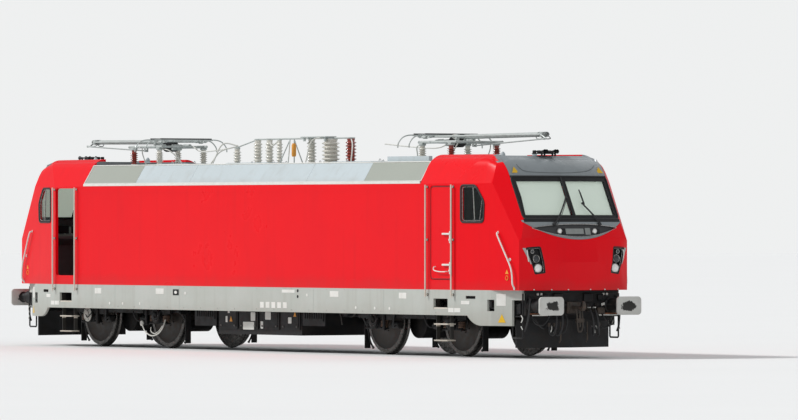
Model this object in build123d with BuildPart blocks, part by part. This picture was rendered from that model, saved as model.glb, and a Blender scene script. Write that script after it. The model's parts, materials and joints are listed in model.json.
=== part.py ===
from build123d import *
import os
from math import atan2, cos, degrees, radians, sin, sqrt, tan

os.makedirs("parts", exist_ok=True)

# Four-axle electric locomotive with a cab at each end. Millimetres.
# x runs along the locomotive, y across it, z up from the tips of the wheel flanges.
# End 1 is at negative x and end 2 at positive x. Side a is at negative y, side b at positive y.

# Running gear
gauge_line = 750
wheel_radius = 625
flange_height = 30
axle_height = wheel_radius + flange_height
bogie_centre_x = 5220
bogie_wheelbase = 2600

# Levels
rail_top = flange_height
skirt_bottom = 787
sole_level = 1261
cab_floor_level = 1410
eaves_level = 3238
gutter_height = 50
slope_top = 3650
floor_slab_bottom = 1345

# Body
body_half_width = 1488.5
wall_thickness = 60
hood_thickness = 60
taper_start_x = 7200
taper_slope = 0.154
bulkhead_x = 6300
hood_rear_x = 6080
seam = 6

# Roof
slope_bottom_y = body_half_width - 28.5
slope_top_y = body_half_width - 258.5
slope_thickness = 40
roof_plate_thickness = 40
roof_joint_x = 2110
slope_joint_x = 4120

# Windscreen and the panels round it
windscreen_half_width = 1085
windscreen_bottom = 2575
windscreen_top = 3376
glass_thickness = 12
glass_inset = 12
panel_gap = 5

# Doors
door_hinge_x = 6430
door_width = 715
door_bottom = 1450
door_top = 3190
door_thickness = 40
door_gap = 8
door_corner = 82
doorway_corner = 68

# Ends
buffer_face_x = 9500
buffer_y = 875
buffer_z = 975
buffer_plate_width = 550
buffer_plate_height = 340
headstock_x = 8900
headstock_bottom = 800
hook_z = buffer_z - 40

# Pantographs: the pivot of the lower arm, the knee and the head when folded.
# The knee points outwards, over the cab, and the head lies towards the middle.
pivot_x = 5400
pivot_z = 4130
lower_arm_length = 2580
upper_arm_length = 3240
knee_rise = 20
head_drop = 15
head_half_span = 975

ends = {"1": -1, "2": 1}
sides = {"a": -1, "b": 1}


def side_y(x):
    return body_half_width - taper_slope * max(0, x - taper_start_x)


# Nose of a cab on the centre line. Columns: height, x.
nose_knee_x = 9045
nose_knee_z = 2530
nose_rows = [(sole_level, 9140), (1780, 9180), (2230, 9130), (nose_knee_z, nose_knee_x), (3785, 8355)]
hood_top = nose_rows[-1][0]
hood_top_y = body_half_width - 298.5
nose_sag = 145
nose_radius = (windscreen_half_width ** 2 + nose_sag ** 2) / (2 * nose_sag)
pillar_low = (nose_knee_x - nose_sag, windscreen_half_width, nose_knee_z)
pillar_high = (nose_knee_x - 465 - nose_sag, windscreen_half_width, windscreen_top)

# Flat facets that bound a cab on the +y side, each through three points:
# the tapering side, the corner beside the windscreen, the corner beside the headlights,
# the leaning hood side and the same where the cab tapers
cab_facets = [
    ((taper_start_x, side_y(taper_start_x), 0), (8880, side_y(8880), 0), (8880, side_y(8880), 1000)),
    (pillar_low, pillar_high, (8700, 1262, nose_knee_z)),
    ((9010, windscreen_half_width, 0), (8940, 1223, 0), (9010, windscreen_half_width, 1000)),
    ((0, body_half_width, eaves_level), (7000, body_half_width, eaves_level), (0, hood_top_y, hood_top)),
    ((taper_start_x, side_y(taper_start_x), eaves_level), (8010, side_y(8010), eaves_level),
     (8060, hood_top_y - 40, hood_top)),
]


def cab_block(rear_x, inset, low, high):
    # The outer form of a cab, moved inwards by inset and kept between two heights
    radius = nose_radius - inset
    edge_y = 1700
    edge_back = radius - sqrt(radius ** 2 - edge_y ** 2)
    with BuildPart() as block:
        for (low_z, low_x), (high_z, high_x) in zip(nose_rows, nose_rows[1:]):
            with BuildSketch(Plane.XY.offset(low_z)):
                with BuildLine():
                    nose_x = low_x - inset
                    ThreePointArc((nose_x - edge_back, -edge_y), (nose_x, 0), (nose_x - edge_back, edge_y))
                    Polyline((nose_x - edge_back, edge_y), (3000, edge_y), (3000, -edge_y),
                             (nose_x - edge_back, -edge_y))
                make_face()
            lean = (high_x - low_x, 0, high_z - low_z)
            extrude(amount=Vector(*lean).length, dir=lean)
        with Locations((rear_x, 0, low)):
            Box(4000, 2 * (body_half_width - inset), high - low,
                align=(Align.MIN, Align.CENTER, Align.MIN), mode=Mode.INTERSECT)
        for first, second, third in cab_facets:
            normal = (Vector(*second) - Vector(*first)).cross(Vector(*third) - Vector(*first)).normalized()
            outward = normal if normal.Y > 0 else -normal
            foot = Vector(*first) - outward * inset
            for side in sides.values():
                with Locations(Plane((foot.X, side * foot.Y, foot.Z), z_dir=(outward.X, side * outward.Y, outward.Z))):
                    Box(20000, 20000, 3000, align=(Align.CENTER, Align.CENTER, Align.MIN), mode=Mode.SUBTRACT)
    return block.part


def front_opening(half_width, low, high, radius):
    # A long prism along x with rounded corners, which cuts an opening in the cab front
    with BuildPart() as prism:
        with BuildSketch(Plane.YZ.offset(7800)):
            with Locations((0, (low + high) / 2)):
                RectangleRounded(2 * half_width, high - low, radius)
        extrude(amount=1600)
    return prism.part


def front_bow(gap):
    # The grey panel under the windscreen: straight on top, bowed below
    top = windscreen_bottom - 15
    bow_half_width = windscreen_half_width + 35
    with BuildPart() as prism:
        with BuildSketch(Plane.YZ.offset(8000)):
            with BuildLine():
                Line((-bow_half_width, top), (bow_half_width, top))
                Line((bow_half_width, top), (bow_half_width - 10, top - 40))
                ThreePointArc((bow_half_width - 10, top - 40), (0, 2195), (10 - bow_half_width, top - 40))
                Line((10 - bow_half_width, top - 40), (-bow_half_width, top))
            make_face()
            if gap:
                offset(amount=-gap, kind=Kind.INTERSECTION, mode=Mode.REPLACE)
        extrude(amount=1600)
    return prism.part


def front_lens():
    # The lens-shaped recess in that panel, for two small lamps
    with BuildPart() as prism:
        with BuildSketch(Plane.YZ.offset(8000)):
            with BuildLine():
                ThreePointArc((-960, 2415), (0, 2480), (960, 2415))
                ThreePointArc((960, 2415), (0, 2255), (-960, 2415))
            make_face()
        extrude(amount=1600)
    return prism.part


# Outline of a headlight cluster on the nose: half width and height of its corners
lamp_corners = [(1110, 2040), (820, 2060), (735, 1580), (945, 1555)]


def lamp_prism(gap):
    with BuildPart() as prism:
        with BuildSketch(Plane.YZ.offset(8000)):
            with BuildLine():
                Polyline(*lamp_corners, close=True)
            make_face()
            if gap:
                offset(amount=-gap, kind=Kind.INTERSECTION, mode=Mode.REPLACE)
        extrude(amount=1600)
        mirror(about=Plane.XZ)
    return prism.part


# Side window of a cab: x and z of its corners, the upper front one cut back
window_corners = [(7400, 2525), (7990, 2525), (8010, 2900), (7790, 3195), (7400, 3195)]
window_radius = 70


def window_prism(gap):
    with BuildPart() as prism:
        with BuildSketch(Plane.XZ.offset(-1700)):
            with BuildLine():
                Polyline(*window_corners, close=True)
            corners = make_face()
            fillet(corners.vertices(), window_radius)
            if gap:
                offset(amount=-gap, kind=Kind.ARC, mode=Mode.REPLACE)
        extrude(amount=3400)
    return prism.part


# Cab shells: hollow, open to the rear and below, with their doorways, windows and lamps cut
inner_cab = cab_block(bulkhead_x - 20, wall_thickness, sole_level, 3740)

with BuildPart() as cab_shell_2:
    add(cab_block(bulkhead_x, 0, sole_level, eaves_level))
    with BuildSketch(Plane.XZ.offset(-1700)):
        with Locations((door_hinge_x + door_width / 2, (door_bottom + door_top) / 2)):
            RectangleRounded(door_width + 2 * door_gap, door_top - door_bottom + 2 * door_gap, doorway_corner)
    extrude(amount=3400, mode=Mode.SUBTRACT)
    add(window_prism(0), mode=Mode.SUBTRACT)
    add(front_opening(windscreen_half_width, windscreen_bottom, 3500, 60), mode=Mode.SUBTRACT)
    add(front_bow(0), mode=Mode.SUBTRACT)
    add(lamp_prism(0), mode=Mode.SUBTRACT)
    add(inner_cab, mode=Mode.SUBTRACT)
cab_shell_2.part.label = "cab_shell_2"
export_step(cab_shell_2.part, "parts/cab_shell_2.step")

with BuildPart() as cab_shell_1:
    mirror(cab_shell_2.part, about=Plane.YZ)
cab_shell_1.part.label = "cab_shell_1"
export_step(cab_shell_1.part, "parts/cab_shell_1.step")

# Hoods over the cabs, with raised cheeks either side of a lower centre pan
cheek_inner_y = 950
pan_level = 3710
pan_front_x = 8050
brow_rear_x = 7880

with BuildPart() as brow_cutter:
    for cut_x, cut_z in ((brow_rear_x, windscreen_top), (8100, eaves_level - 10)):
        with Locations((cut_x, 0, cut_z)):
            Box(2000, 2 * windscreen_half_width, 1000, align=(Align.MIN, Align.CENTER, Align.MIN))

with BuildPart() as cab_hoods:
    add(cab_block(hood_rear_x, 0, eaves_level, hood_top))
    with Locations((hood_rear_x - 10, 0, pan_level)):
        Box(pan_front_x - hood_rear_x, 2 * cheek_inner_y, 200,
            align=(Align.MIN, Align.CENTER, Align.MIN), mode=Mode.SUBTRACT)
    add(brow_cutter.part, mode=Mode.SUBTRACT)
    add(cab_block(hood_rear_x - 20, hood_thickness, eaves_level - 10, pan_level - hood_thickness),
        mode=Mode.SUBTRACT)
    mirror(about=Plane.YZ)
cab_hoods.part.label = "cab_hoods"
export_step(cab_hoods.part, "parts/cab_hoods.step")

# Grey front panels: the brow above each windscreen and the bowed panel below it
with BuildPart() as brow:
    add(cab_block(hood_rear_x, 0, windscreen_top + panel_gap, hood_top))
    add(cab_block(hood_rear_x - 20, hood_thickness, eaves_level, pan_level - hood_thickness), mode=Mode.SUBTRACT)
    with Locations((brow_rear_x + panel_gap, 0, windscreen_top + panel_gap)):
        Box(2000, 2 * (windscreen_half_width - panel_gap), 1000,
            align=(Align.MIN, Align.CENTER, Align.MIN), mode=Mode.INTERSECT)
    with Locations((7800, 0, pan_level)):
        Box(pan_front_x - 7800, 2 * cheek_inner_y, 200,
            align=(Align.MIN, Align.CENTER, Align.MIN), mode=Mode.SUBTRACT)

with BuildPart() as lower_panel:
    add(cab_block(hood_rear_x, 0, 1900, 2800))
    add(cab_block(hood_rear_x - 20, wall_thickness, sole_level, 3000), mode=Mode.SUBTRACT)
    add(front_bow(panel_gap), mode=Mode.INTERSECT)

with BuildPart() as lens_floor:
    add(cab_block(hood_rear_x, 35, 1900, 2800))
    add(front_lens(), mode=Mode.INTERSECT)

with BuildPart() as lens_cutter:
    add(front_lens())
    add(lens_floor.part, mode=Mode.SUBTRACT)

lens_lamp_y = 395
lens_lamp_z = 2352
lens_lamp_radius = 38
lens_lamp_planes = [Plane((8960, y, lens_lamp_z), z_dir=(1, 0, 0)) for y in (-lens_lamp_y, lens_lamp_y)]

with BuildPart() as front_panels:
    add(lower_panel.part)
    add(lens_cutter.part, mode=Mode.SUBTRACT)
    with Locations(*lens_lamp_planes):
        Cylinder(lens_lamp_radius + panel_gap, 300, align=(Align.CENTER, Align.CENTER, Align.MIN),
                 mode=Mode.SUBTRACT)
    add(brow.part)
    mirror(about=Plane.YZ)
front_panels.part.label = "front_panels"
export_step(front_panels.part, "parts/front_panels.step")

# Glass of the windscreens and of the side windows, set back from the skin
with BuildPart() as pane_skin:
    add(cab_block(bulkhead_x + 400, glass_inset, 2400, 3500))
    add(cab_block(bulkhead_x + 300, glass_inset + glass_thickness, sole_level, hood_top), mode=Mode.SUBTRACT)

with BuildPart() as screen_pane:
    add(pane_skin.part)
    add(front_opening(windscreen_half_width - 4, windscreen_bottom + 4, windscreen_top - 4, 56),
        mode=Mode.INTERSECT)

with BuildPart() as side_panes:
    add(pane_skin.part)
    add(window_prism(4), mode=Mode.INTERSECT)

with BuildPart() as cab_windows:
    add(screen_pane.part)
    add(side_panes.part)
    mirror(about=Plane.YZ)
cab_windows.part.label = "cab_windows"
export_step(cab_windows.part, "parts/cab_windows.step")

# Headlight clusters in the nose and two small lamps in each lens-shaped recess
with BuildPart() as front_lamps:
    add(cab_block(hood_rear_x, 15, 1500, 2100))
    add(cab_block(hood_rear_x - 20, 110, sole_level, 2300), mode=Mode.SUBTRACT)
    add(lamp_prism(4), mode=Mode.INTERSECT)
    for lamp_y, lamp_z, lamp_radius in ((870, 1650, 72), (905, 1830, 48)):
        with Locations(Plane((8910, lamp_y, lamp_z), z_dir=(1, 0, 0))):
            Cylinder(lamp_radius, 250, align=(Align.CENTER, Align.CENTER, Align.MIN))
        with Locations(Plane((8910, -lamp_y, lamp_z), z_dir=(1, 0, 0))):
            Cylinder(lamp_radius, 250, align=(Align.CENTER, Align.CENTER, Align.MIN))
    with Locations(*lens_lamp_planes):
        Cylinder(lens_lamp_radius, 115, align=(Align.CENTER, Align.CENTER, Align.MIN))
    mirror(about=Plane.YZ)
front_lamps.part.label = "front_lamps"
export_step(front_lamps.part, "parts/front_lamps.step")

# Machine room walls, one each side, with a long panel seam low and high
with BuildPart() as side_walls:
    for side in sides.values():
        with Locations((0, side * (body_half_width - wall_thickness / 2), sole_level)):
            Box(2 * bulkhead_x, wall_thickness, eaves_level - sole_level,
                align=(Align.CENTER, Align.CENTER, Align.MIN))
        for seam_z in (1430, 3100):
            with Locations((0, side * body_half_width, seam_z)):
                Box(2 * hood_rear_x, 8, seam, mode=Mode.SUBTRACT)
side_walls.part.label = "side_walls"
export_step(side_walls.part, "parts/side_walls.step")

# Sloping roof sides with a gutter along the eaves, in five panels each side
slope_panels = [
    (-hood_rear_x, -slope_joint_x),
    (-slope_joint_x, -roof_joint_x),
    (-roof_joint_x, roof_joint_x),
    (roof_joint_x, slope_joint_x),
    (slope_joint_x, hood_rear_x),
]
with BuildPart() as roof_slopes:
    for start_x, end_x in slope_panels:
        with BuildSketch(Plane.YZ.offset(start_x + seam / 2)):
            with BuildLine():
                Polyline(
                    (body_half_width, eaves_level),
                    (body_half_width, eaves_level + gutter_height),
                    (slope_bottom_y, eaves_level + gutter_height),
                    (slope_top_y, slope_top),
                    (slope_top_y - slope_thickness, slope_top),
                    (slope_bottom_y - slope_thickness, eaves_level),
                    close=True,
                )
            make_face()
        extrude(amount=end_x - start_x - seam)
    mirror(about=Plane.XZ)
roof_slopes.part.label = "roof_slopes"
export_step(roof_slopes.part, "parts/roof_slopes.step")

# Three flat roof hatches and a long cable duct on the one at end 2
hatch_spans = [(-hood_rear_x, -roof_joint_x), (-roof_joint_x, roof_joint_x), (roof_joint_x, hood_rear_x)]
with BuildPart() as roof_hatches:
    for start_x, end_x in hatch_spans:
        with Locations(((start_x + end_x) / 2, 0, slope_top)):
            Box(end_x - start_x - seam, 2 * slope_top_y - 2 * slope_thickness, roof_plate_thickness,
                align=(Align.CENTER, Align.CENTER, Align.MAX))
    with Locations((5200, -1130, slope_top)):
        Box(1400, 80, 110, align=(Align.CENTER, Align.CENTER, Align.MIN))
roof_hatches.part.label = "roof_hatches"
export_step(roof_hatches.part, "parts/roof_hatches.step")

# Underframe: floor plate, sole bars, headstocks that carry the buffers, and the bogies' centre pins
sole_bar_width = 97
centre_pin_radius = 55
centre_pin_bottom = 722
centre_pin_gap = 7
with BuildPart() as underframe:
    with Locations((0, 0, floor_slab_bottom)):
        Box(2 * bulkhead_x, 2 * (body_half_width - wall_thickness), cab_floor_level - 5 - floor_slab_bottom,
            align=(Align.CENTER, Align.CENTER, Align.MIN))
    for side in sides.values():
        with Locations((0, side * (body_half_width - wall_thickness - sole_bar_width / 2), sole_level)):
            Box(2 * bulkhead_x, sole_bar_width, floor_slab_bottom - sole_level,
                align=(Align.CENTER, Align.CENTER, Align.MIN))
    for end in ends.values():
        with Locations((end * (bulkhead_x + 8300) / 2, 0, floor_slab_bottom)):
            Box(8300 - bulkhead_x, 2 * (body_half_width - 238.5), cab_floor_level - 5 - floor_slab_bottom,
                align=(Align.CENTER, Align.CENTER, Align.MIN))
        with Locations((end * (headstock_x - 360), 0, headstock_bottom)):
            Box(720, 2060, sole_level - 1 - headstock_bottom, align=(Align.CENTER, Align.CENTER, Align.MIN))
        with Locations((end * 8000, 0, sole_level - 1)):
            Box(700, 2200, floor_slab_bottom - sole_level + 1, align=(Align.CENTER, Align.CENTER, Align.MIN))
        with Locations((end * 8300, 0, sole_level - 1)):
            Box(600, 2200, floor_slab_bottom - sole_level + 1, align=(Align.CENTER, Align.CENTER, Align.MIN))
        with Locations((end * bogie_centre_x, 0, centre_pin_bottom)):
            Cylinder(centre_pin_radius, floor_slab_bottom - centre_pin_bottom,
                     align=(Align.CENTER, Align.CENTER, Align.MIN))
underframe.part.label = "underframe"
export_step(underframe.part, "parts/underframe.step")

# Skirts along both sides, turning in towards the buffers, with pockets cut through them
skirt_plan = [
    (0, body_half_width),
    (taper_start_x, body_half_width),
    (8200, side_y(8200)),
    (8610, body_half_width - 323.5),
    (8860, body_half_width - 400.5),
]
skirt_thickness = 50
with BuildPart() as skirt_form:
    with BuildSketch(Plane.XY.offset(300)):
        with BuildLine():
            Polyline(*skirt_plan, *[(x, y - skirt_thickness) for x, y in reversed(skirt_plan)], close=True)
        make_face()
    extrude(amount=sole_level - 300)

# Cuts in the skirt: centre x and z, width and height
skirt_cuts = [(6760, 1000, 470, 190), (7650, 1125, 260, 50), (8180, 980, 170, 210)]
with BuildPart() as side_skirts:
    add(skirt_form.part)
    with BuildSketch(Plane.XZ.offset(-1700)):
        with BuildLine():
            Line((0, sole_level), (8855, sole_level))
            Line((8855, sole_level), (8855, 1080))
            Line((8855, 1080), (8625, 1080))
            Line((8625, 1080), (8625, 603))
            Line((8625, 603), (7950, 603))
            RadiusArc((7950, 603), (7560, skirt_bottom), 480)
            Line((7560, skirt_bottom), (0, skirt_bottom))
            Line((0, skirt_bottom), (0, sole_level))
        make_face()
    extrude(amount=3400, mode=Mode.INTERSECT)
    for cut_x, cut_z, cut_width, cut_height in skirt_cuts:
        with Locations((cut_x, side_y(cut_x), cut_z)):
            Box(cut_width, 400, cut_height, mode=Mode.SUBTRACT)
    mirror(about=Plane.XZ)
    mirror(about=Plane.YZ)
side_skirts.part.label = "side_skirts"
export_step(side_skirts.part, "parts/side_skirts.step")

# Grab rails beside the doors and the entry steps below them
rail_radius = 16
rail_x = (6330, 7185)
rail_y = body_half_width + 55
rail_low = 1130
rail_high = 3215
step_x = 6760
step_width = 450
tread_thickness = 24
tread_inner_y = body_half_width - 188.5
tread_levels = (906, 608, 303)
hanger_y = body_half_width - 103.5


rod_flats = 10


def rod_between(start, end, radius):
    # A bar from one point to another, ten-sided to keep its faces few
    with BuildPart() as bar:
        with BuildSketch(Plane(start, z_dir=Vector(*end) - Vector(*start))):
            RegularPolygon(radius, rod_flats)
        extrude(amount=(Vector(*end) - Vector(*start)).length)
    return bar.part


with BuildPart() as rails_and_steps:
    for post_x in rail_x:
        add(rod_between((post_x, rail_y, rail_low), (post_x, rail_y, rail_high), rail_radius))
        for stub_z in (rail_low + 40, rail_high - 40):
            add(rod_between((post_x, body_half_width, stub_z), (post_x, rail_y, stub_z), rail_radius - 3))
    for tread_z in tread_levels:
        with Locations((step_x, tread_inner_y, tread_z)):
            Box(step_width, body_half_width - 4 - tread_inner_y, tread_thickness,
                align=(Align.CENTER, Align.MIN, Align.MIN))
    for hanger_x in (step_x - step_width / 2, step_x + step_width / 2):
        with Locations((hanger_x, hanger_y, tread_levels[-1])):
            Box(14, 80, sole_level - tread_levels[-1], align=(Align.CENTER, Align.CENTER, Align.MIN))
    mirror(about=Plane.XZ)
    mirror(about=Plane.YZ)
rails_and_steps.part.label = "rails_and_steps"
export_step(rails_and_steps.part, "parts/rails_and_steps.step")

# Doors: a plain leaf with two handles outside and hinge barrels inside.
# The one at end 1, side a stands open.
barrel_radius = 12
barrel_length = 120
barrel_levels = (1600, 2260, 2920)
door_axis_x = door_hinge_x + barrel_radius
door_axis_y = body_half_width - door_thickness - barrel_radius + 2
with BuildPart() as door_2b:
    with BuildSketch(Plane.XZ.offset(-body_half_width)):
        with Locations((door_hinge_x + door_width / 2, (door_bottom + door_top) / 2)):
            RectangleRounded(door_width, door_top - door_bottom, door_corner)
    extrude(amount=door_thickness)
    for handle_z in (2300, 1725):
        with Locations((door_hinge_x + 560, body_half_width + 12, handle_z)):
            Box(260, 24, 32)
        with Locations((door_hinge_x + 675, body_half_width + 12, handle_z - 60)):
            Box(36, 24, 220)
    for barrel_z in barrel_levels:
        with Locations((door_axis_x, door_axis_y, barrel_z)):
            Cylinder(barrel_radius, barrel_length, align=(Align.CENTER, Align.CENTER, Align.MIN))
door_2b.part.label = "door_2b"
export_step(door_2b.part, "parts/door_2b.step")

with BuildPart() as door_2a:
    mirror(door_2b.part, about=Plane.XZ)
door_2a.part.label = "door_2a"
export_step(door_2a.part, "parts/door_2a.step")

with BuildPart() as door_1b:
    mirror(door_2b.part, about=Plane.YZ)
door_1b.part.label = "door_1b"
export_step(door_1b.part, "parts/door_1b.step")

door_axis_1a = Axis((-door_axis_x, -door_axis_y, 0), (0, 0, 1))
with BuildPart() as door_1a:
    add(mirror(door_2a.part, about=Plane.YZ, mode=Mode.PRIVATE).rotate(door_axis_1a, -90))
door_1a.part.label = "door_1a"
export_step(door_1a.part, "parts/door_1a.step")

# Cab floors and the bulkheads behind them
with BuildPart() as cab_bulkheads:
    add(cab_block(bulkhead_x, wall_thickness, cab_floor_level - 5, cab_floor_level + 25))
    with BuildPart(mode=Mode.PRIVATE) as bulkhead:
        add(cab_block(bulkhead_x, wall_thickness, cab_floor_level - 5, pan_level - hood_thickness))
        with Locations((bulkhead_x, 0, 0)):
            Box(40, 4000, 4000, align=(Align.MIN, Align.CENTER, Align.MIN), mode=Mode.INTERSECT)
    add(bulkhead.part)
    mirror(about=Plane.YZ)
cab_bulkheads.part.label = "cab_bulkheads"
export_step(cab_bulkheads.part, "parts/cab_bulkheads.step")

# Driver's desks under the windscreens
desk_top = 2290
with BuildPart() as driver_desks:
    with BuildSketch(Plane.XZ.offset(1000)):
        with BuildLine():
            Polyline((8480, cab_floor_level + 25), (8480, 2050), (8060, 2180), (8060, 2240), (8480, desk_top),
                     (8760, 2420), (8760, cab_floor_level + 25), close=True)
        make_face()
    extrude(amount=-2000)
    mirror(about=Plane.YZ)
driver_desks.part.label = "driver_desks"
export_step(driver_desks.part, "parts/driver_desks.step")

with BuildPart() as driver_seats:
    with Locations((7520, 0, cab_floor_level + 25)):
        Cylinder(60, 420, align=(Align.CENTER, Align.CENTER, Align.MIN))
    with Locations((7540, 0, cab_floor_level + 425)):
        Box(480, 500, 110, align=(Align.CENTER, Align.CENTER, Align.MIN))
    with Locations((7320, 0, cab_floor_level + 500)):
        Box(110, 460, 750, align=(Align.CENTER, Align.CENTER, Align.MIN))
    mirror(about=Plane.YZ)
driver_seats.part.label = "driver_seats"
export_step(driver_seats.part, "parts/driver_seats.step")

# Wipers. Columns: y and z of the pivot, of the arm's end, of the blade's top and of its foot
wiper_rows = [
    (-496, 2480, -98, 2967, -58, 3350, -84, 2695),
    (520, 2480, 237, 2863, 275, 3119, 288, 2799),
]
wiper_stand_off = 34


def front_point(y, z, out):
    # A point on the raked front of end 2, moved forward of the surface
    for (low_z, low_x), (high_z, high_x) in zip(nose_rows, nose_rows[1:]):
        if low_z <= z <= high_z:
            nose_x = low_x + (high_x - low_x) * (z - low_z) / (high_z - low_z)
    return (nose_x - nose_radius + sqrt(nose_radius ** 2 - y ** 2) + out, y, z)


with BuildPart() as wiper_pair:
    for pivot_y, pivot_low, arm_y, arm_z, top_y, top_z, foot_y, foot_z in wiper_rows:
        pivot = front_point(pivot_y, pivot_low, wiper_stand_off)
        arm_end = front_point(arm_y, arm_z, wiper_stand_off)
        add(rod_between(front_point(pivot_y, pivot_low, -6), front_point(pivot_y, pivot_low, wiper_stand_off + 14), 26))
        add(rod_between(pivot, arm_end, 10))
        add(rod_between(front_point(top_y, top_z, 22), front_point(foot_y, foot_z, 22), 9))
        add(rod_between(arm_end, front_point(arm_y, arm_z, 14), 12))
    add(front_panels.part, mode=Mode.SUBTRACT)

with BuildPart() as wipers:
    add(wiper_pair.part)
    add(wiper_pair.part.rotate(Axis.Z, 180))
wipers.part.label = "wipers"
export_step(wipers.part, "parts/wipers.step")

# Buffers
with BuildPart() as buffers:
    for side in sides.values():
        with Locations(Plane((headstock_x, side * buffer_y, buffer_z), z_dir=(1, 0, 0))):
            Cylinder(160, 40, align=(Align.CENTER, Align.CENTER, Align.MIN))
            Cylinder(130, 330, align=(Align.CENTER, Align.CENTER, Align.MIN))
            Cylinder(95, buffer_face_x - headstock_x - 10, align=(Align.CENTER, Align.CENTER, Align.MIN))
        with BuildSketch(Plane((buffer_face_x - 40, side * buffer_y, buffer_z), x_dir=(0, 1, 0), z_dir=(1, 0, 0))):
            RectangleRounded(buffer_plate_width, buffer_plate_height, 70)
        extrude(amount=40)
    mirror(about=Plane.YZ)
buffers.part.label = "buffers"
export_step(buffers.part, "parts/buffers.step")

# Draw hooks with their hanging links
with BuildPart() as coupling_gear:
    with Locations((headstock_x, 0, hook_z)):
        Box(60, 360, 260, align=(Align.MIN, Align.CENTER, Align.CENTER))
    with BuildSketch(Plane.XZ.offset(-30)):
        with BuildLine():
            Polyline((headstock_x + 20, hook_z - 45), (9180, hook_z - 60), (9270, hook_z - 35),
                     (9300, hook_z + 35), (9270, hook_z + 105), (9225, hook_z + 115), (9235, hook_z + 40),
                     (9200, hook_z + 15), (9150, hook_z + 40), (9120, hook_z + 55),
                     (headstock_x + 20, hook_z + 55), close=True)
        make_face()
    extrude(amount=60)
    mirror(about=Plane.YZ)
coupling_gear.part.label = "coupling_gear"
export_step(coupling_gear.part, "parts/coupling_gear.step")

# Ploughs under the headstocks
with BuildPart() as ploughs:
    with BuildSketch(Plane.XY.offset(200)):
        with BuildLine():
            Polyline((8600, 1040), (8880, 0), (8600, -1040), (8560, -1040), (8838, 0), (8560, 1040), close=True)
        make_face()
    extrude(amount=520)
    for bracket_y in (-700, 700):
        with Locations((8650, bracket_y, 700)):
            Box(160, 60, headstock_bottom - 700, align=(Align.CENTER, Align.CENTER, Align.MIN))
    mirror(about=Plane.YZ)
ploughs.part.label = "ploughs"
export_step(ploughs.part, "parts/ploughs.step")

# Equipment under the floor between the bogies: transformer, side boxes and air tanks
# Columns: centre x, centre y, length, width, bottom z, top z
underfloor_boxes = [
    (0, 0, 3000, 2300, 330, 1345),
    (-1950, 820, 800, 700, 480, 1345),
    (-1950, -820, 800, 700, 480, 1345),
    (1950, 820, 800, 700, 520, 1345),
    (1950, -820, 800, 700, 520, 1345),
]
with BuildPart() as underfloor_equipment:
    for box_x, box_y, box_length, box_width, box_low, box_high in underfloor_boxes:
        with Locations((box_x, box_y, box_low)):
            Box(box_length, box_width, box_high - box_low, align=(Align.CENTER, Align.CENTER, Align.MIN))
    for tank_x in (-2600, 2600):
        with Locations(Plane((tank_x, -900, 900), z_dir=(0, 1, 0))):
            Cylinder(200, 1800, align=(Align.CENTER, Align.CENTER, Align.MIN))
        with Locations((tank_x, 0, 1080)):
            Box(60, 1500, 265, align=(Align.CENTER, Align.CENTER, Align.MIN))
underfloor_equipment.part.label = "underfloor_equipment"
export_step(underfloor_equipment.part, "parts/underfloor_equipment.step")

# Bogies, with the same parts at both ends
beam_y = 1010
beam_width = 130
beam_bottom = 700
beam_height = 180
axle_box_width = 190
axle_box_radius = 165
motor_radius = 300
motor_x = 590
axle_x = bogie_wheelbase / 2
journal_radius = 65
journal_gap = 3

# Wheels: the inner face of the flange, its thickness, the width of the tread and the rim's depth
wheel_inner_y = 680
flange_thickness = 32
tread_width = 103
rim_depth = 75
hub_radius = 130
web_inset = 40
axle_radius = 85
axle_end_y = 1075

# Half of the wheelset's outline from its middle: distance along the axle, radius
rim_outer_y = wheel_inner_y + flange_thickness + tread_width
wheelset_outline = [
    (0, 0),
    (0, axle_radius),
    (wheel_inner_y, axle_radius),
    (wheel_inner_y, wheel_radius + flange_height),
    (wheel_inner_y + flange_thickness, wheel_radius + flange_height),
    (wheel_inner_y + flange_thickness, wheel_radius + 3),
    (rim_outer_y, wheel_radius - 5),
    (rim_outer_y, wheel_radius - rim_depth),
    (rim_outer_y - web_inset, wheel_radius - rim_depth),
    (rim_outer_y - web_inset, hub_radius),
    (rim_outer_y, hub_radius),
    (rim_outer_y, journal_radius),
    (axle_end_y, journal_radius),
    (axle_end_y, 0),
]

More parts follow.
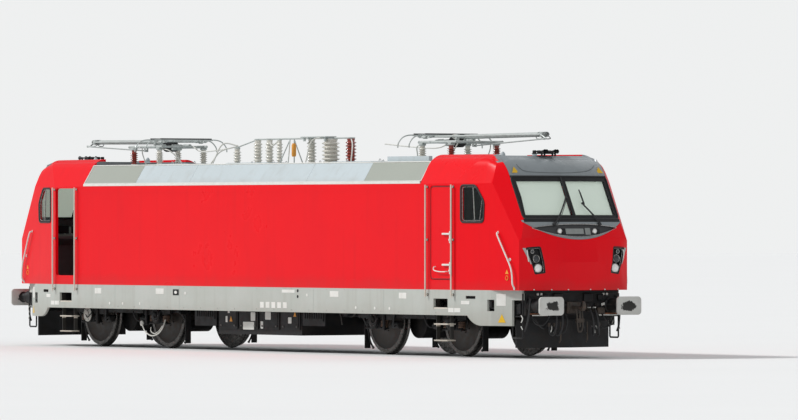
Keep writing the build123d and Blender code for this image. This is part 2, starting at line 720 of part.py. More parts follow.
for end_name, end in ends.items():
    centre_x = end * bogie_centre_x
    with BuildPart() as bogie_frame:
        with Locations((centre_x, beam_y, beam_bottom)):
            Box(3560, beam_width, beam_height, align=(Align.CENTER, Align.CENTER, Align.MIN))
        for axle_side in (-axle_x, axle_x):
            with Locations(Plane((centre_x + axle_side, beam_y, axle_height), z_dir=(0, 1, 0))):
                Cylinder(axle_box_radius, axle_box_width)
            with Locations(Plane((centre_x + axle_side, 0, axle_height), z_dir=(0, 1, 0))):
                Cylinder(journal_radius + journal_gap, 1080, mode=Mode.SUBTRACT,
                         align=(Align.CENTER, Align.CENTER, Align.MIN))
        with Locations((centre_x, 0, beam_bottom + 10)):
            Box(340, beam_y, 130, align=(Align.CENTER, Align.MIN, Align.MIN))
        with Locations((centre_x, 0, beam_bottom)):
            Cylinder(centre_pin_radius + centre_pin_gap, beam_height, mode=Mode.SUBTRACT,
                     align=(Align.CENTER, Align.CENTER, Align.MIN))
        mirror(about=Plane.XZ)
    bogie_frame.part.label = f"bogie_frame_{end_name}"
    export_step(bogie_frame.part, f"parts/bogie_frame_{end_name}.step")

    # Coil springs beside the axle boxes and between the frame and the body
    with BuildPart() as bogie_springs:
        for spring_x, spring_radius, spring_low, spring_high in (
            (-250, 120, beam_bottom + beam_height, 1330),
            (250, 120, beam_bottom + beam_height, 1330),
        ):
            with Locations((centre_x + spring_x, beam_y, spring_low)):
                Cylinder(spring_radius, spring_high - spring_low, align=(Align.CENTER, Align.CENTER, Align.MIN))
        mirror(about=Plane.XZ)
    bogie_springs.part.label = f"bogie_springs_{end_name}"
    export_step(bogie_springs.part, f"parts/bogie_springs_{end_name}.step")

    with BuildPart() as bogie_motors:
        for side_x in (-motor_x, motor_x):
            with Locations(Plane((centre_x + side_x, 0, 620), z_dir=(0, 1, 0))):
                Cylinder(motor_radius, 1100)
        with Locations((centre_x, 0, 620)):
            Box(700, 700, 180)
    bogie_motors.part.label = f"bogie_motors_{end_name}"
    export_step(bogie_motors.part, f"parts/bogie_motors_{end_name}.step")

    for axle_name, axle_side in (("a", -axle_x), ("b", axle_x)):
        with BuildPart() as wheelset:
            with BuildSketch(Plane((centre_x + axle_side, 0, axle_height), x_dir=(0, 1, 0), z_dir=(1, 0, 0))):
                with BuildLine():
                    Polyline(*wheelset_outline, close=True)
                make_face()
            revolve(axis=Axis((centre_x + axle_side, 0, axle_height), (0, 1, 0)))
            mirror(about=Plane.XZ)
        wheelset.part.label = f"wheelset_{end_name}{axle_name}"
        export_step(wheelset.part, f"parts/wheelset_{end_name}{axle_name}.step")

# Pantographs, folded. The base is a frame of tubes on four insulators.
arm_radius = 45
tube_radius = 20
base_z = 4030
base_tube_radius = 28
insulator_top = base_z - base_tube_radius
knee_x = pivot_x + sqrt(lower_arm_length ** 2 - knee_rise ** 2)
knee_z = pivot_z + knee_rise
head_x = knee_x - sqrt(upper_arm_length ** 2 - head_drop ** 2)
head_z = knee_z - head_drop
strip_rise = 65
strip_height = 36
strip_width = 44
strip_gap = 190
strip_top = head_z + strip_rise
horn_radius = 13
# Half a collector horn: distance across, drop below the strips' top
horn_rows = [
    (600, 18),
    (740, 26),
    (850, 62),
    (930, 135),
    (head_half_span - 12, 200),
    (head_half_span - 5, 262),
]
upper_knee_y = 75
upper_head_y = 420
rod_y = -120
rod_base = (pivot_x + 480, 3957)
rod_crank = (181, -85)
rod_radius = 13
eye_radius = 20
pivot_half_width = 170
bearing_width = 30
shaft_radius = 30
shaft_gap = 5
base_rear_x = 4600
base_front_x = rod_base[0]
base_half_width = 520
foot_x = (4720, 5690)

with BuildPart() as pantograph_base_2:
    for frame_y in (-base_half_width, base_half_width):
        add(rod_between((base_rear_x, frame_y, base_z), (base_front_x, frame_y, base_z), base_tube_radius))
    for frame_x in (foot_x[0], pivot_x, foot_x[1], base_front_x):
        add(rod_between((frame_x, -base_half_width, base_z), (frame_x, base_half_width, base_z), 22))
    for bearing_y in (-pivot_half_width - bearing_width / 2, pivot_half_width + bearing_width / 2):
        with Locations((pivot_x, bearing_y, base_z)):
            Box(100, bearing_width, pivot_z - base_z + 50, align=(Align.CENTER, Align.CENTER, Align.MIN))
    with Locations(Plane((pivot_x, 0, pivot_z), z_dir=(0, 1, 0))):
        Cylinder(shaft_radius + shaft_gap, 800, mode=Mode.SUBTRACT)
    for lug_y in (rod_y - 30, rod_y + 30):
        with Locations((rod_base[0], lug_y, rod_base[1] - 22)):
            Box(50, 14, base_z - rod_base[1] + 22, align=(Align.CENTER, Align.CENTER, Align.MIN))

with BuildPart() as pantograph_bases:
    add(pantograph_base_2.part)
    mirror(about=Plane.YZ)
pantograph_bases.part.label = "pantograph_bases"
export_step(pantograph_bases.part, "parts/pantograph_bases.step")

with BuildPart() as lower_arm_2:
    with BuildSketch(Plane((pivot_x, 0, pivot_z), z_dir=(knee_x - pivot_x, 0, knee_z - pivot_z))):
        Circle(arm_radius)
    extrude(amount=lower_arm_length)
    with Locations(Plane((pivot_x, 0, pivot_z), z_dir=(0, 1, 0))):
        Cylinder(shaft_radius, 2 * (pivot_half_width + bearing_width + 15))
    with Locations(Plane((knee_x, 0, knee_z), z_dir=(0, 1, 0))):
        Cylinder(arm_radius + 5, 90)
lower_arm_2.part.label = "lower_arm_2"
export_step(lower_arm_2.part, "parts/lower_arm_2.step")

crank_end = (knee_x + rod_crank[0], knee_z + rod_crank[1])
brace_shares = (0.85, 0.97)
with BuildPart() as upper_arm_2:
    for side in sides.values():
        add(rod_between((knee_x, side * upper_knee_y, knee_z), (head_x, side * upper_head_y, head_z), tube_radius))
        with Locations(Plane((knee_x, side * 64, knee_z), z_dir=(0, 1, 0))):
            Cylinder(arm_radius + 3, 26)
    for brace_share in brace_shares:
        brace_x = knee_x + (head_x - knee_x) * brace_share
        brace_y = upper_knee_y + (upper_head_y - upper_knee_y) * brace_share
        brace_z = knee_z + (head_z - knee_z) * brace_share
        add(rod_between((brace_x, -brace_y, brace_z), (brace_x, brace_y, brace_z), 12))
    add(rod_between((knee_x, -64, knee_z), (crank_end[0], -64, crank_end[1]), 16))
    add(rod_between((crank_end[0], -60, crank_end[1]), (crank_end[0], rod_y + 18, crank_end[1]), 14))
    for side in sides.values():
        with Locations(Plane((head_x, side * upper_head_y, head_z), z_dir=(0, 1, 0))):
            Cylinder(28, 30)
            Cylinder(19, 70, mode=Mode.SUBTRACT)
upper_arm_2.part.label = "upper_arm_2"
export_step(upper_arm_2.part, "parts/upper_arm_2.step")

with BuildPart() as guide_rod_2:
    add(rod_between((rod_base[0], rod_y, rod_base[1]), (crank_end[0], rod_y, crank_end[1]), rod_radius))
    for eye_x, eye_z in (rod_base, crank_end):
        with Locations(Plane((eye_x, rod_y, eye_z), z_dir=(0, 1, 0))):
            Cylinder(eye_radius, 2 * rod_radius)
guide_rod_2.part.label = "guide_rod_2"
export_step(guide_rod_2.part, "parts/guide_rod_2.step")

with BuildPart() as pantograph_head_2:
    with Locations(Plane((head_x, 0, head_z), z_dir=(0, 1, 0))):
        Cylinder(14, 2 * upper_head_y + 120)
    for strip_x in (head_x - strip_gap, head_x + strip_gap):
        with Locations((strip_x, 0, strip_top)):
            Box(strip_width, 1240, strip_height, align=(Align.CENTER, Align.CENTER, Align.MAX))
        for side in sides.values():
            for (start_y, start_drop), (end_y, end_drop) in zip(horn_rows, horn_rows[1:]):
                add(rod_between((strip_x, side * start_y, strip_top - start_drop),
                                (strip_x, side * end_y, strip_top - end_drop), horn_radius))
    for side in sides.values():
        add(rod_between((head_x - strip_gap, side * 470, strip_top - strip_height + 8),
                        (head_x + strip_gap, side * 470, strip_top - strip_height + 8), 11))
        with Locations((head_x, side * 470, head_z)):
            Box(30, 16, strip_rise - strip_height + 8, align=(Align.CENTER, Align.CENTER, Align.MIN))
pantograph_head_2.part.label = "pantograph_head_2"
export_step(pantograph_head_2.part, "parts/pantograph_head_2.step")

for piece, name in (
    (lower_arm_2.part, "lower_arm_1"),
    (upper_arm_2.part, "upper_arm_1"),
    (guide_rod_2.part, "guide_rod_1"),
    (pantograph_head_2.part, "pantograph_head_1"),
):
    with BuildPart() as mirrored:
        mirror(piece, about=Plane.YZ)
    mirrored.part.label = name
    export_step(mirrored.part, f"parts/{name}.step")

# Insulators under the pantograph frames
# Columns: x, y, foot level, top level, body radius, shed radius, number of sheds
insulator_rows = []
for end in ends.values():
    for foot_y in (-base_half_width, base_half_width):
        for row_x in foot_x:
            insulator_rows.append((end * row_x, foot_y, slope_top, insulator_top, 48, 72, 3))


def insulator(centre_x, centre_y, foot_z, top_z, body_radius, shed_radius, sheds):
    # A post with flat sheds, twelve-sided to keep its faces few
    pitch = (top_z - foot_z) / (sheds + 0.5)
    with BuildPart() as post:
        with BuildSketch(Plane.XY.offset(foot_z)):
            with Locations((centre_x, centre_y)):
                RegularPolygon(body_radius, 12)
        extrude(amount=top_z - foot_z)
        for shed in range(sheds):
            with BuildSketch(Plane.XY.offset(foot_z + pitch * (shed + 0.6))):
                with Locations((centre_x, centre_y)):
                    RegularPolygon(shed_radius, 12)
            extrude(amount=pitch * 0.3)
    return post.part


with BuildPart() as roof_insulators:
    for row in insulator_rows:
        add(insulator(*row))
roof_insulators.part.label = "roof_insulators"
export_step(roof_insulators.part, "parts/roof_insulators.step")

# Main switchgear on the middle hatch
# Columns: x, y, foot level, top level, body radius, shed radius, number of sheds
switch_rows = [
    (760, 0, slope_top, 4160, 120, 180, 4),
    (75, 0, slope_top, 4160, 60, 98, 4),
    (1470, 0, slope_top, 4160, 70, 108, 4),
    (-1080, 0, slope_top, 4150, 40, 65, 3),
    (-1445, 0, slope_top, 4160, 55, 85, 4),
    (-1870, 0, slope_top, 4160, 60, 90, 4),
    (-2630, 0, slope_top, 4000, 50, 80, 3),
]
bar_level = 4150
with BuildPart() as roof_switchgear:
    for row in switch_rows:
        add(insulator(*row))
    add(rod_between((-1870, 0, bar_level), (1470, 0, bar_level), 18))
    add(rod_between((-2630, 0, 3990), (-1870, 0, bar_level), 14))
    with Locations((430, -75, 4160)):
        Box(900, 260, 30, align=(Align.CENTER, Align.CENTER, Align.MIN))
roof_switchgear.part.label = "roof_switchgear"
export_step(roof_switchgear.part, "parts/roof_switchgear.step")

# Converter cabinets either side of the machine room's aisle, as plain heavy blocks
with BuildPart() as traction_converters:
    for side in sides.values():
        with Locations((0, side * 950, cab_floor_level - 5)):
            Box(9000, 800, 1700, align=(Align.CENTER, Align.CENTER, Align.MIN))
traction_converters.part.label = "traction_converters"
export_step(traction_converters.part, "parts/traction_converters.step")
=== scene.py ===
import json
import math

import bmesh
import bpy
import numpy as np
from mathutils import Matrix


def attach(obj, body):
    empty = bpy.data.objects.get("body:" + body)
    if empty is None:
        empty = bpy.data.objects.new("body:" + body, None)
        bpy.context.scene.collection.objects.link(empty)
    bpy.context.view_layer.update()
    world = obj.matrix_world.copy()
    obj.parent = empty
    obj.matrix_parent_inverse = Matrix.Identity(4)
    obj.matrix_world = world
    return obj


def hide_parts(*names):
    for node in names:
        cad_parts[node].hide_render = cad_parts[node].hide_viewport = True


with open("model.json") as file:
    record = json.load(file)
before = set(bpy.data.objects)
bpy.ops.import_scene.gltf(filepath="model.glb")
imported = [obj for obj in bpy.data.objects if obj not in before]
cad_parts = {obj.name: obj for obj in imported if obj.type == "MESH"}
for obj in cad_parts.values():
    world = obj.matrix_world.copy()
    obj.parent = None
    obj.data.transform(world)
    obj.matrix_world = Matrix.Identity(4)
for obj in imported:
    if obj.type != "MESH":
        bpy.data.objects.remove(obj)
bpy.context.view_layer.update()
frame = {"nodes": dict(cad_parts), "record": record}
nodes = frame["nodes"]
ends = {"1": -1, "2": 1}
print("frame loaded")


# Mesh helpers. A part is a pair: an array of points and a list of faces.
def gridFaces(rows, columns, closeRows=False, closeColumns=False):
    # Quads of a grid whose points run along the columns first
    rowIds = np.arange(rows if closeRows else rows - 1)
    columnIds = np.arange(columns if closeColumns else columns - 1)
    row, column = np.meshgrid(rowIds, columnIds, indexing="ij")
    row, column = row.ravel(), column.ravel()
    nextRow, nextColumn = (row + 1) % rows, (column + 1) % columns
    quads = np.stack([row * columns + column, row * columns + nextColumn,
                      nextRow * columns + nextColumn, nextRow * columns + column], axis=1)
    return quads.tolist()


def capFaces(rows, columns):
    # The first and the last row of a closed grid as one face each
    return [list(range(columns)), list(range((rows - 1) * columns, rows * columns))]


def carried(path, across, lift, profile):
    # Each ring is the path's point plus the profile in that point's frame
    rings = path[:, None, :] + across[:, None, :] * profile[None, :, 0:1]
    rings = rings + lift[:, None, :] * profile[None, :, 1:2]
    return rings.reshape(-1, 3)


def sweep(path, profile, up=(0, 0, 1)):
    # A closed profile carried along an open path, with both ends closed
    path = np.asarray(path, float)
    profile = np.asarray(profile, float)
    tangent = np.gradient(path, axis=0)
    tangent /= np.linalg.norm(tangent, axis=1)[:, None]
    upward = np.asarray(up, float)
    if np.abs(tangent @ upward).max() > 0.95 * np.linalg.norm(upward):
        # The axis that the path runs along least
        upward = np.eye(3)[np.abs(tangent).max(axis=0).argmin()]
    across = np.cross(tangent, upward)
    across /= np.linalg.norm(across, axis=1)[:, None]
    lift = np.cross(across, tangent)
    faces = gridFaces(len(path), len(profile), closeColumns=True) + capFaces(len(path), len(profile))
    return carried(path, across, lift, profile), faces


def circle(radius, sides=16):
    # Points at equal steps round a circle
    turn = np.arange(sides) * 2 * math.pi / sides
    return np.stack([radius * np.cos(turn), radius * np.sin(turn)], axis=1)


def smoothPath(points, steps=8):
    # A Catmull-Rom curve through the points
    points = np.asarray(points, float)
    padded = np.vstack([2 * points[0] - points[1], points, 2 * points[-1] - points[-2]])
    share = np.linspace(0, 1, steps, endpoint=False)[:, None]
    pieces = []
    for before, start, end, after in zip(padded, padded[1:], padded[2:], padded[3:]):
        pieces.append(0.5 * (2 * start + (end - before) * share
                             + (2 * before - 5 * start + 4 * end - after) * share ** 2
                             + (3 * start - before - 3 * end + after) * share ** 3))
    return np.vstack(pieces + [points[-1:]])


def tube(path, radius, sides=12):
    return sweep(path, circle(radius, sides))


def rod(start, end, radius, sides=12):
    return tube(np.array([start, end], float), radius, sides)


def lathe(profile, origin, axis=(0, 0, 1), segments=32):
    # Rows of (radius, height) turned about an axis through the origin
    profile = np.asarray(profile, float)
    axis = np.asarray(axis, float)
    axis /= np.linalg.norm(axis)
    side = np.cross(axis, (1.0, 0.0, 0.0) if abs(axis[0]) < 0.9 else (0.0, 1.0, 0.0))
    side /= np.linalg.norm(side)
    other = np.cross(axis, side)
    turn = np.arange(segments) * 2 * math.pi / segments
    ring = np.cos(turn)[:, None] * side + np.sin(turn)[:, None] * other
    points = (np.asarray(origin, float) + profile[:, 0, None, None] * ring[None]
              + profile[:, 1, None, None] * axis)
    faces = gridFaces(len(profile), segments, closeColumns=True)
    for row in (0, len(profile) - 1):
        if profile[row, 0] > 1e-6:
            faces.append([row * segments + index for index in range(segments)])
    return points.reshape(-1, 3), faces


def block(centre, size, chamfer=0.004):
    # A box with every edge chamfered: three points at each corner, one on each face that meets there
    half = np.asarray(size, float) / 2
    chamfer = min(chamfer, half.min() * 0.45)
    signs = np.array([[x, y, z] for x in (-1, 1) for y in (-1, 1) for z in (-1, 1)], float)
    inner = signs * (half - chamfer)
    points = inner[:, None, :] + signs[:, None, :] * np.eye(3)[None] * chamfer
    faces = [[corner * 3, corner * 3 + 1, corner * 3 + 2] for corner in range(8)]
    for axis in range(3):
        first, second = [other for other in range(3) if other != axis]
        for sign in (-1, 1):
            ring = [corner for corner in range(8) if signs[corner, axis] == sign]
            a, b, c, d = ring
            faces.append([a * 3 + axis, b * 3 + axis, d * 3 + axis, c * 3 + axis])
        for s1 in (-1, 1):
            for s2 in (-1, 1):
                low, high = [corner * 3 for corner in range(8)
                             if signs[corner, first] == s1 and signs[corner, second] == s2]
                faces.append([low + first, low + second, high + second, high + first])
    return points.reshape(-1, 3) + np.asarray(centre, float), faces


def plate(outline, origin, right, forward, thickness):
    # A flat outline, given in the directions right and forward, thickened along their cross product
    outline = np.asarray(outline, float)
    right = np.asarray(right, float) / np.linalg.norm(right)
    forward = np.asarray(forward, float) / np.linalg.norm(forward)
    normal = np.cross(right, forward)
    flat = np.asarray(origin, float) + outline[:, 0:1] * right + outline[:, 1:2] * forward
    count = len(outline)
    faces = gridFaces(2, count, closeColumns=True) + capFaces(2, count)
    return np.vstack([flat, flat + normal * thickness]), faces


def roundedOutline(width, height, radius, steps=6):
    # Corners of a rectangle, each turned with an arc
    corners = [(1, 1, 0), (-1, 1, 90), (-1, -1, 180), (1, -1, 270)]
    rows = []
    for signX, signY, start in corners:
        turn = np.radians(start + np.linspace(0, 90, steps))
        rows.append(np.stack([signX * (width / 2 - radius) + radius * np.cos(turn),
                              signY * (height / 2 - radius) + radius * np.sin(turn)], axis=1))
    return np.vstack(rows)


def mirrorX(part):
    return part[0] * np.array([-1, 1, 1]), part[1]


def mirrorY(part):
    return part[0] * np.array([1, -1, 1]), part[1]


def twoSides(parts):
    return parts + [mirrorY(part) for part in parts]


def twoEnds(parts):
    return parts + [mirrorX(part) for part in parts]


def fourWays(parts):
    return twoEnds(twoSides(parts))


def turned(part, centre, axis, degrees):
    # Rodrigues' rotation of the points about an axis through the centre
    points, faces = part
    axis = np.asarray(axis, float) / np.linalg.norm(axis)
    angle = math.radians(degrees)
    moved = points - np.asarray(centre, float)
    moved = (moved * math.cos(angle) + np.cross(axis, moved) * math.sin(angle)
             + axis * (moved @ axis)[:, None] * (1 - math.cos(angle)))
    return moved + np.asarray(centre, float), faces


def addObject(name, data):
    made = bpy.data.objects.new(name, data)
    bpy.context.scene.collection.objects.link(made)
    return made


def addPiece(name, parts, finish, body="carbody", slot=None, replaces=(), sharp=35):
    # The finish is a material, or the name of a slot, whose material is then used
    if isinstance(finish, str):
        slot, finish = finish, materials[finish]
    points, faces, offset = [], [], 0
    for partPoints, partFaces in parts:
        points.append(partPoints)
        faces += [[index + offset for index in face] for face in partFaces]
        offset += len(partPoints)
    mesh = bpy.data.meshes.new(name)
    mesh.from_pydata(np.vstack(points).tolist(), [], faces)
    work = bmesh.new()
    work.from_mesh(mesh)
    # Closes the poles of turned and rounded forms, whose points fall together
    bmesh.ops.remove_doubles(work, verts=work.verts, dist=1e-5)
    bmesh.ops.recalc_face_normals(work, faces=work.faces)
    work.to_mesh(mesh)
    work.free()
    mesh.shade_smooth()
    mesh.set_sharp_from_angle(angle=math.radians(sharp))
    mesh.materials.append(finish)
    piece = addObject(name, mesh)
    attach(piece, body)
    if replaces:
        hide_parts(*replaces)
    return piece


# Shader helpers. An input is given a value or a socket: a socket is linked, anything else is set.
def giveInput(tree, socket, value):
    if isinstance(value, bpy.types.NodeSocket):
        tree.links.new(value, socket)
    elif socket.type == "RGBA":
        socket.default_value = (*value, 1)
    else:
        socket.default_value = value


def nodeIn(tree, kind, inputs=None, **settings):
    node = tree.nodes.new("ShaderNode" + kind)
    for key, value in settings.items():
        setattr(node, key, value)
    for key, value in (inputs or {}).items():
        giveInput(tree, node.inputs[key], value)
    return node


def objectPlace(tree):
    return nodeIn(tree, "TexCoord").outputs["Object"]


def makeGroup(name, inputs):
    # A group with one mask as its output; returns the group, the sockets of its inputs and that of the mask
    group = bpy.data.node_groups.new(name, "ShaderNodeTree")
    for label, default in inputs.items():
        socket = group.interface.new_socket(name=label, in_out="INPUT", socket_type="NodeSocketFloat")
        socket.default_value = default
    group.interface.new_socket(name="Mask", in_out="OUTPUT", socket_type="NodeSocketFloat")
    return group, group.nodes.new("NodeGroupInput").outputs, group.nodes.new("NodeGroupOutput").inputs["Mask"]


def makeSpeckleGroup():
    # A patchy mask: noise spread out between the low and the high value
    group, entry, mask = makeGroup("speckle", {"Scale": 2.0, "Low": 0.4, "High": 0.65})
    noise = nodeIn(group, "TexNoise", {"Vector": objectPlace(group), "Scale": entry["Scale"], "Detail": 6,
                                       "Roughness": 0.62})
    ramp = nodeIn(group, "MapRange", {"Value": noise.outputs["Fac"], "From Min": entry["Low"],
                                      "From Max": entry["High"]})
    group.links.new(ramp.outputs["Result"], mask)
    return group


def makeStreakGroup():
    # Noise drawn out in height, for rain streaks
    group, entry, mask = makeGroup("streaks", {"Scale": 9.0})
    stretch = nodeIn(group, "VectorMath", {0: objectPlace(group), 1: (1.0, 1.0, 0.06)}, operation="MULTIPLY")
    noise = nodeIn(group, "TexNoise", {"Vector": stretch.outputs["Vector"], "Scale": entry["Scale"],
                                       "Detail": 4})
    ramp = nodeIn(group, "MapRange", {"Value": noise.outputs["Fac"], "From Min": 0.52, "From Max": 0.74})
    group.links.new(ramp.outputs["Result"], mask)
    return group


def makeHeightGroup():
    # A mask that is 1 at the low level and fades to 0 at the high level, with an uneven edge
    group, entry, mask = makeGroup("heightFade", {"Bottom": 0.8, "Top": 1.4})
    place = objectPlace(group)
    noise = nodeIn(group, "TexNoise", {"Vector": place, "Scale": 3.0, "Detail": 5})
    wobble = nodeIn(group, "Math", {0: noise.outputs["Fac"], 1: 0.35, 2: -0.17}, operation="MULTIPLY_ADD")
    split = nodeIn(group, "SeparateXYZ", {"Vector": place})
    height = nodeIn(group, "Math", {0: split.outputs["Z"], 1: wobble.outputs[0]}, operation="ADD")
    ramp = nodeIn(group, "MapRange", {"Value": height.outputs[0], "From Min": entry["Bottom"],
                                      "From Max": entry["Top"], "To Min": 1.0, "To Max": 0.0})
    group.links.new(ramp.outputs["Result"], mask)
    return group


speckleGroup = makeSpeckleGroup()
streakGroup = makeStreakGroup()
heightGroup = makeHeightGroup()


def useGroup(tree, group, **inputs):
    return nodeIn(tree, "Group", inputs, node_tree=group).outputs[0]


def speckle(tree, scale, low, high):
    return useGroup(tree, speckleGroup, Scale=scale, Low=low, High=high)


def mixColour(tree, factor, first, second):
    # From the first colour to the second; the factor is a socket, or a socket and the share of it that counts
    if isinstance(factor, tuple):
        factor = nodeIn(tree, "Math", {0: factor[0], 1: factor[1]}, operation="MULTIPLY").outputs[0]
    mix = nodeIn(tree, "Mix", data_type="RGBA")
    for key, value in (("Factor", factor), ("A", first), ("B", second)):
        giveInput(tree, mix.inputs[key], value)
    return mix.outputs["Result"]


def spread(tree, mask, low, high):
    # The mask's 0 to 1 as low to high, for roughness
    return nodeIn(tree, "MapRange", {"Value": mask, "To Min": low, "To Max": high}).outputs["Result"]


def bumpOf(tree, mask, strength, distance=0.002):
    bump = nodeIn(tree, "Bump", {"Height": mask, "Strength": strength, "Distance": distance})
    return bump.outputs["Normal"]


def newMaterial(name):
    material = bpy.data.materials.new(name)
    material.use_nodes = True
    return material, material.node_tree


def fillShader(material, inputs):
    tree = material.node_tree
    shader = tree.nodes["Principled BSDF"]
    for key, value in {"Coat Roughness": 0.1, **inputs}.items():
        giveInput(tree, shader.inputs[key], value)
    return material


def awayFromMiddle(tree):
    # The place with its signs taken off, so that both ends and both sides read alike
    flip = nodeIn(tree, "VectorMath", {0: objectPlace(tree)}, operation="ABSOLUTE")
    return nodeIn(tree, "SeparateXYZ", {"Vector": flip.outputs[0]}).outputs


# The step hangers: how far out they reach, the heights of their treads and half a tread's thickness
stepSettings = {"reach": 1.5, "treads": (0.906, 0.608, 0.303), "halfTread": 0.03}


def stepMask(tree):
    # 1 on the step hangers: nearer to the middle than their reach, and away from the height of each tread
    split = awayFromMiddle(tree)
    mask = nodeIn(tree, "Math", {0: split["Y"], 1: stepSettings["reach"]}, operation="LESS_THAN")
    for height in stepSettings["treads"]:
        near = nodeIn(tree, "Math", {0: split["Z"], 1: height, 2: stepSettings["halfTread"]},
                      operation="COMPARE")
        mask = nodeIn(tree, "Math", {0: mask.outputs[0], 1: near.outputs[0]}, operation="SUBTRACT",
                      use_clamp=True)
    return mask.outputs[0]


def paintedReflectionMask(tree, start):
    # 1 where the distance along the body from its middle is beyond the start; on the roof slopes this marks
    # the painted reflection
    return nodeIn(tree, "Math", {0: awayFromMiddle(tree)["X"], 1: start}, operation="GREATER_THAN").outputs[0]


def makePaint(name, settings):
    # Body paint: base colour, a slightly faded patchy tone, rain streaks and dust that rises from below
    material, tree = newMaterial(name)
    patches = speckle(tree, settings["patchScale"], 0.35, 0.7)
    streaks = useGroup(tree, streakGroup, Scale=settings["streakScale"])
    dust = useGroup(tree, heightGroup, Bottom=settings["dustBottom"], Top=settings["dustTop"])
    colour = mixColour(tree, patches, settings["colour"], settings["faded"])
    colour = mixColour(tree, (streaks, settings["streaks"]), colour, settings["streakColour"])
    colour = mixColour(tree, (dust, settings["dust"]), colour, settings["dustColour"])
    if "steps" in settings:
        colour = mixColour(tree, stepMask(tree), colour, settings["steps"])
    # On the roof slopes the outer panels turn darker grey-green: a painted reflection
    if "panels" in settings:
        colour = mixColour(tree, paintedReflectionMask(tree, settings["reflectionStart"]), colour, settings["panels"])
    ripple = speckle(tree, 1.3, 0.2, 0.8)
    return fillShader(material, {
        "Base Color": colour, "Coat Weight": settings["coat"], "Coat Roughness": 0.12,
        "Specular IOR Level": settings.get("gloss", 0.25), "Roughness": spread(tree, patches,
                                                                               *settings["rough"]),
        "Normal": bumpOf(tree, ripple, settings["ripple"], 0.004)})


redPaint = {
    "colour": (0.8, 0.0006, 0.006), "faded": (0.74, 0.001, 0.008), "patchScale": 0.35, "streakScale": 7.0,
    "streaks": 0.1, "streakColour": (0.45, 0.01, 0.012), "dust": 0.35, "dustColour": (0.5, 0.03, 0.03),
    "dustBottom": 1.25, "dustTop": 1.5, "rough": (0.26, 0.38), "coat": 0.04, "ripple": 0.1, "gloss": 0.14,
}
skirtPaint = {
    "colour": (0.47, 0.49, 0.455), "faded": (0.42, 0.44, 0.4), "patchScale": 0.9, "streakScale": 6.0,
    "streaks": 0.25, "streakColour": (0.3, 0.29, 0.25), "dust": 0.45, "dustColour": (0.27, 0.24, 0.2),
    "dustBottom": 0.55, "dustTop": 1.02, "rough": (0.42, 0.6), "coat": 0.05, "ripple": 0.08,
}
roofPaint = {
    "colour": (0.5, 0.56, 0.58), "faded": (0.45, 0.5, 0.51), "patchScale": 0.7, "streakScale": 5.0,
    "streaks": 0.3, "streakColour": (0.34, 0.35, 0.33), "dust": 0.4, "dustColour": (0.36, 0.35, 0.31),
    "dustBottom": 3.2, "dustTop": 3.4, "rough": (0.35, 0.55), "coat": 0.05, "ripple": 0.15,
}
frontPaint = {
    "colour": (0.245, 0.27, 0.28), "faded": (0.215, 0.235, 0.245), "patchScale": 1.4, "streakScale": 9.0,
    "streaks": 0.2, "streakColour": (0.16, 0.165, 0.16), "dust": 0.0, "dustColour": (0.2, 0.2, 0.2),
    "dustBottom": 1.0, "dustTop": 2.0, "rough": (0.3, 0.45), "coat": 0.15, "ripple": 0.05,
}
railPaint = {
    "colour": (0.66, 0.62, 0.54), "faded": (0.58, 0.53, 0.45), "patchScale": 5.0, "streakScale": 14.0,
    "streaks": 0.25, "streakColour": (0.3, 0.24, 0.18), "dust": 0.5, "dustColour": (0.25, 0.21, 0.17),
    "dustBottom": 0.3, "dustTop": 0.9, "rough": (0.35, 0.6), "coat": 0.05, "ripple": 0.05,
    "steps": (0.035, 0.033, 0.03),
}
bufferPaint = {
    "colour": (0.5, 0.5, 0.47), "faded": (0.4, 0.39, 0.36), "patchScale": 4.0, "streakScale": 12.0,
    "streaks": 0.3, "streakColour": (0.2, 0.18, 0.15), "dust": 0.3, "dustColour": (0.2, 0.18, 0.15),
    "dustBottom": 0.85, "dustTop": 1.1, "rough": (0.4, 0.65), "coat": 0.0, "ripple": 0.1,
}


def makeDarkSteel(name, colour, dustColour, dustShare, rough):
    # Underframe parts: near black with brown dust caught in patches
    material, tree = newMaterial(name)
    dust = speckle(tree, 5.0, 0.45, 0.72)
    fine = speckle(tree, 38.0, 0.35, 0.7)
    base = mixColour(tree, (dust, dustShare), colour, dustColour)
    base = mixColour(tree, (fine, 0.25), base, tuple(0.6 * value for value in colour))
    return fillShader(material, {"Base Color": base, "Specular IOR Level": 0.3,
                                 "Roughness": spread(tree, dust, *rough), "Normal": bumpOf(tree, fine, 0.25)})


def makeGlass(name, colour, alpha, rough):
    # Tinted glass that lets some of the room behind show, with faint smears
    material, tree = newMaterial(name)
    smear = speckle(tree, 3.0, 0.4, 0.8)
    smeared = tuple(min(1, 1.25 * value + 0.01) for value in colour)
    return fillShader(material, {"Base Color": mixColour(tree, (smear, 0.3), colour, smeared), "Alpha": alpha,
                                 "Roughness": spread(tree, smear, rough, rough + 0.08)})


def makeCeramic(name, colour, dustColour):
    # Glazed porcelain, dull where dust lies
    material, tree = newMaterial(name)
    dust = speckle(tree, 14.0, 0.45, 0.75)
    return fillShader(material, {"Base Color": mixColour(tree, (dust, 0.55), colour, dustColour),
                                 "Coat Weight": 0.5, "Roughness": spread(tree, dust, 0.15, 0.5)})


def makeLightMetal(name, colour, dustColour, metallic):
    # Painted or bare light alloy of the roof gear with weathered patches
    material, tree = newMaterial(name)
    dust = speckle(tree, 7.0, 0.42, 0.7)
    return fillShader(material, {"Base Color": mixColour(tree, (dust, 0.6), colour, dustColour),
                                 "Metallic": metallic,
                                 "Roughness": spread(tree, dust, 0.35, 0.65), "Normal": bumpOf(tree, dust,
                                                                                               0.1)})


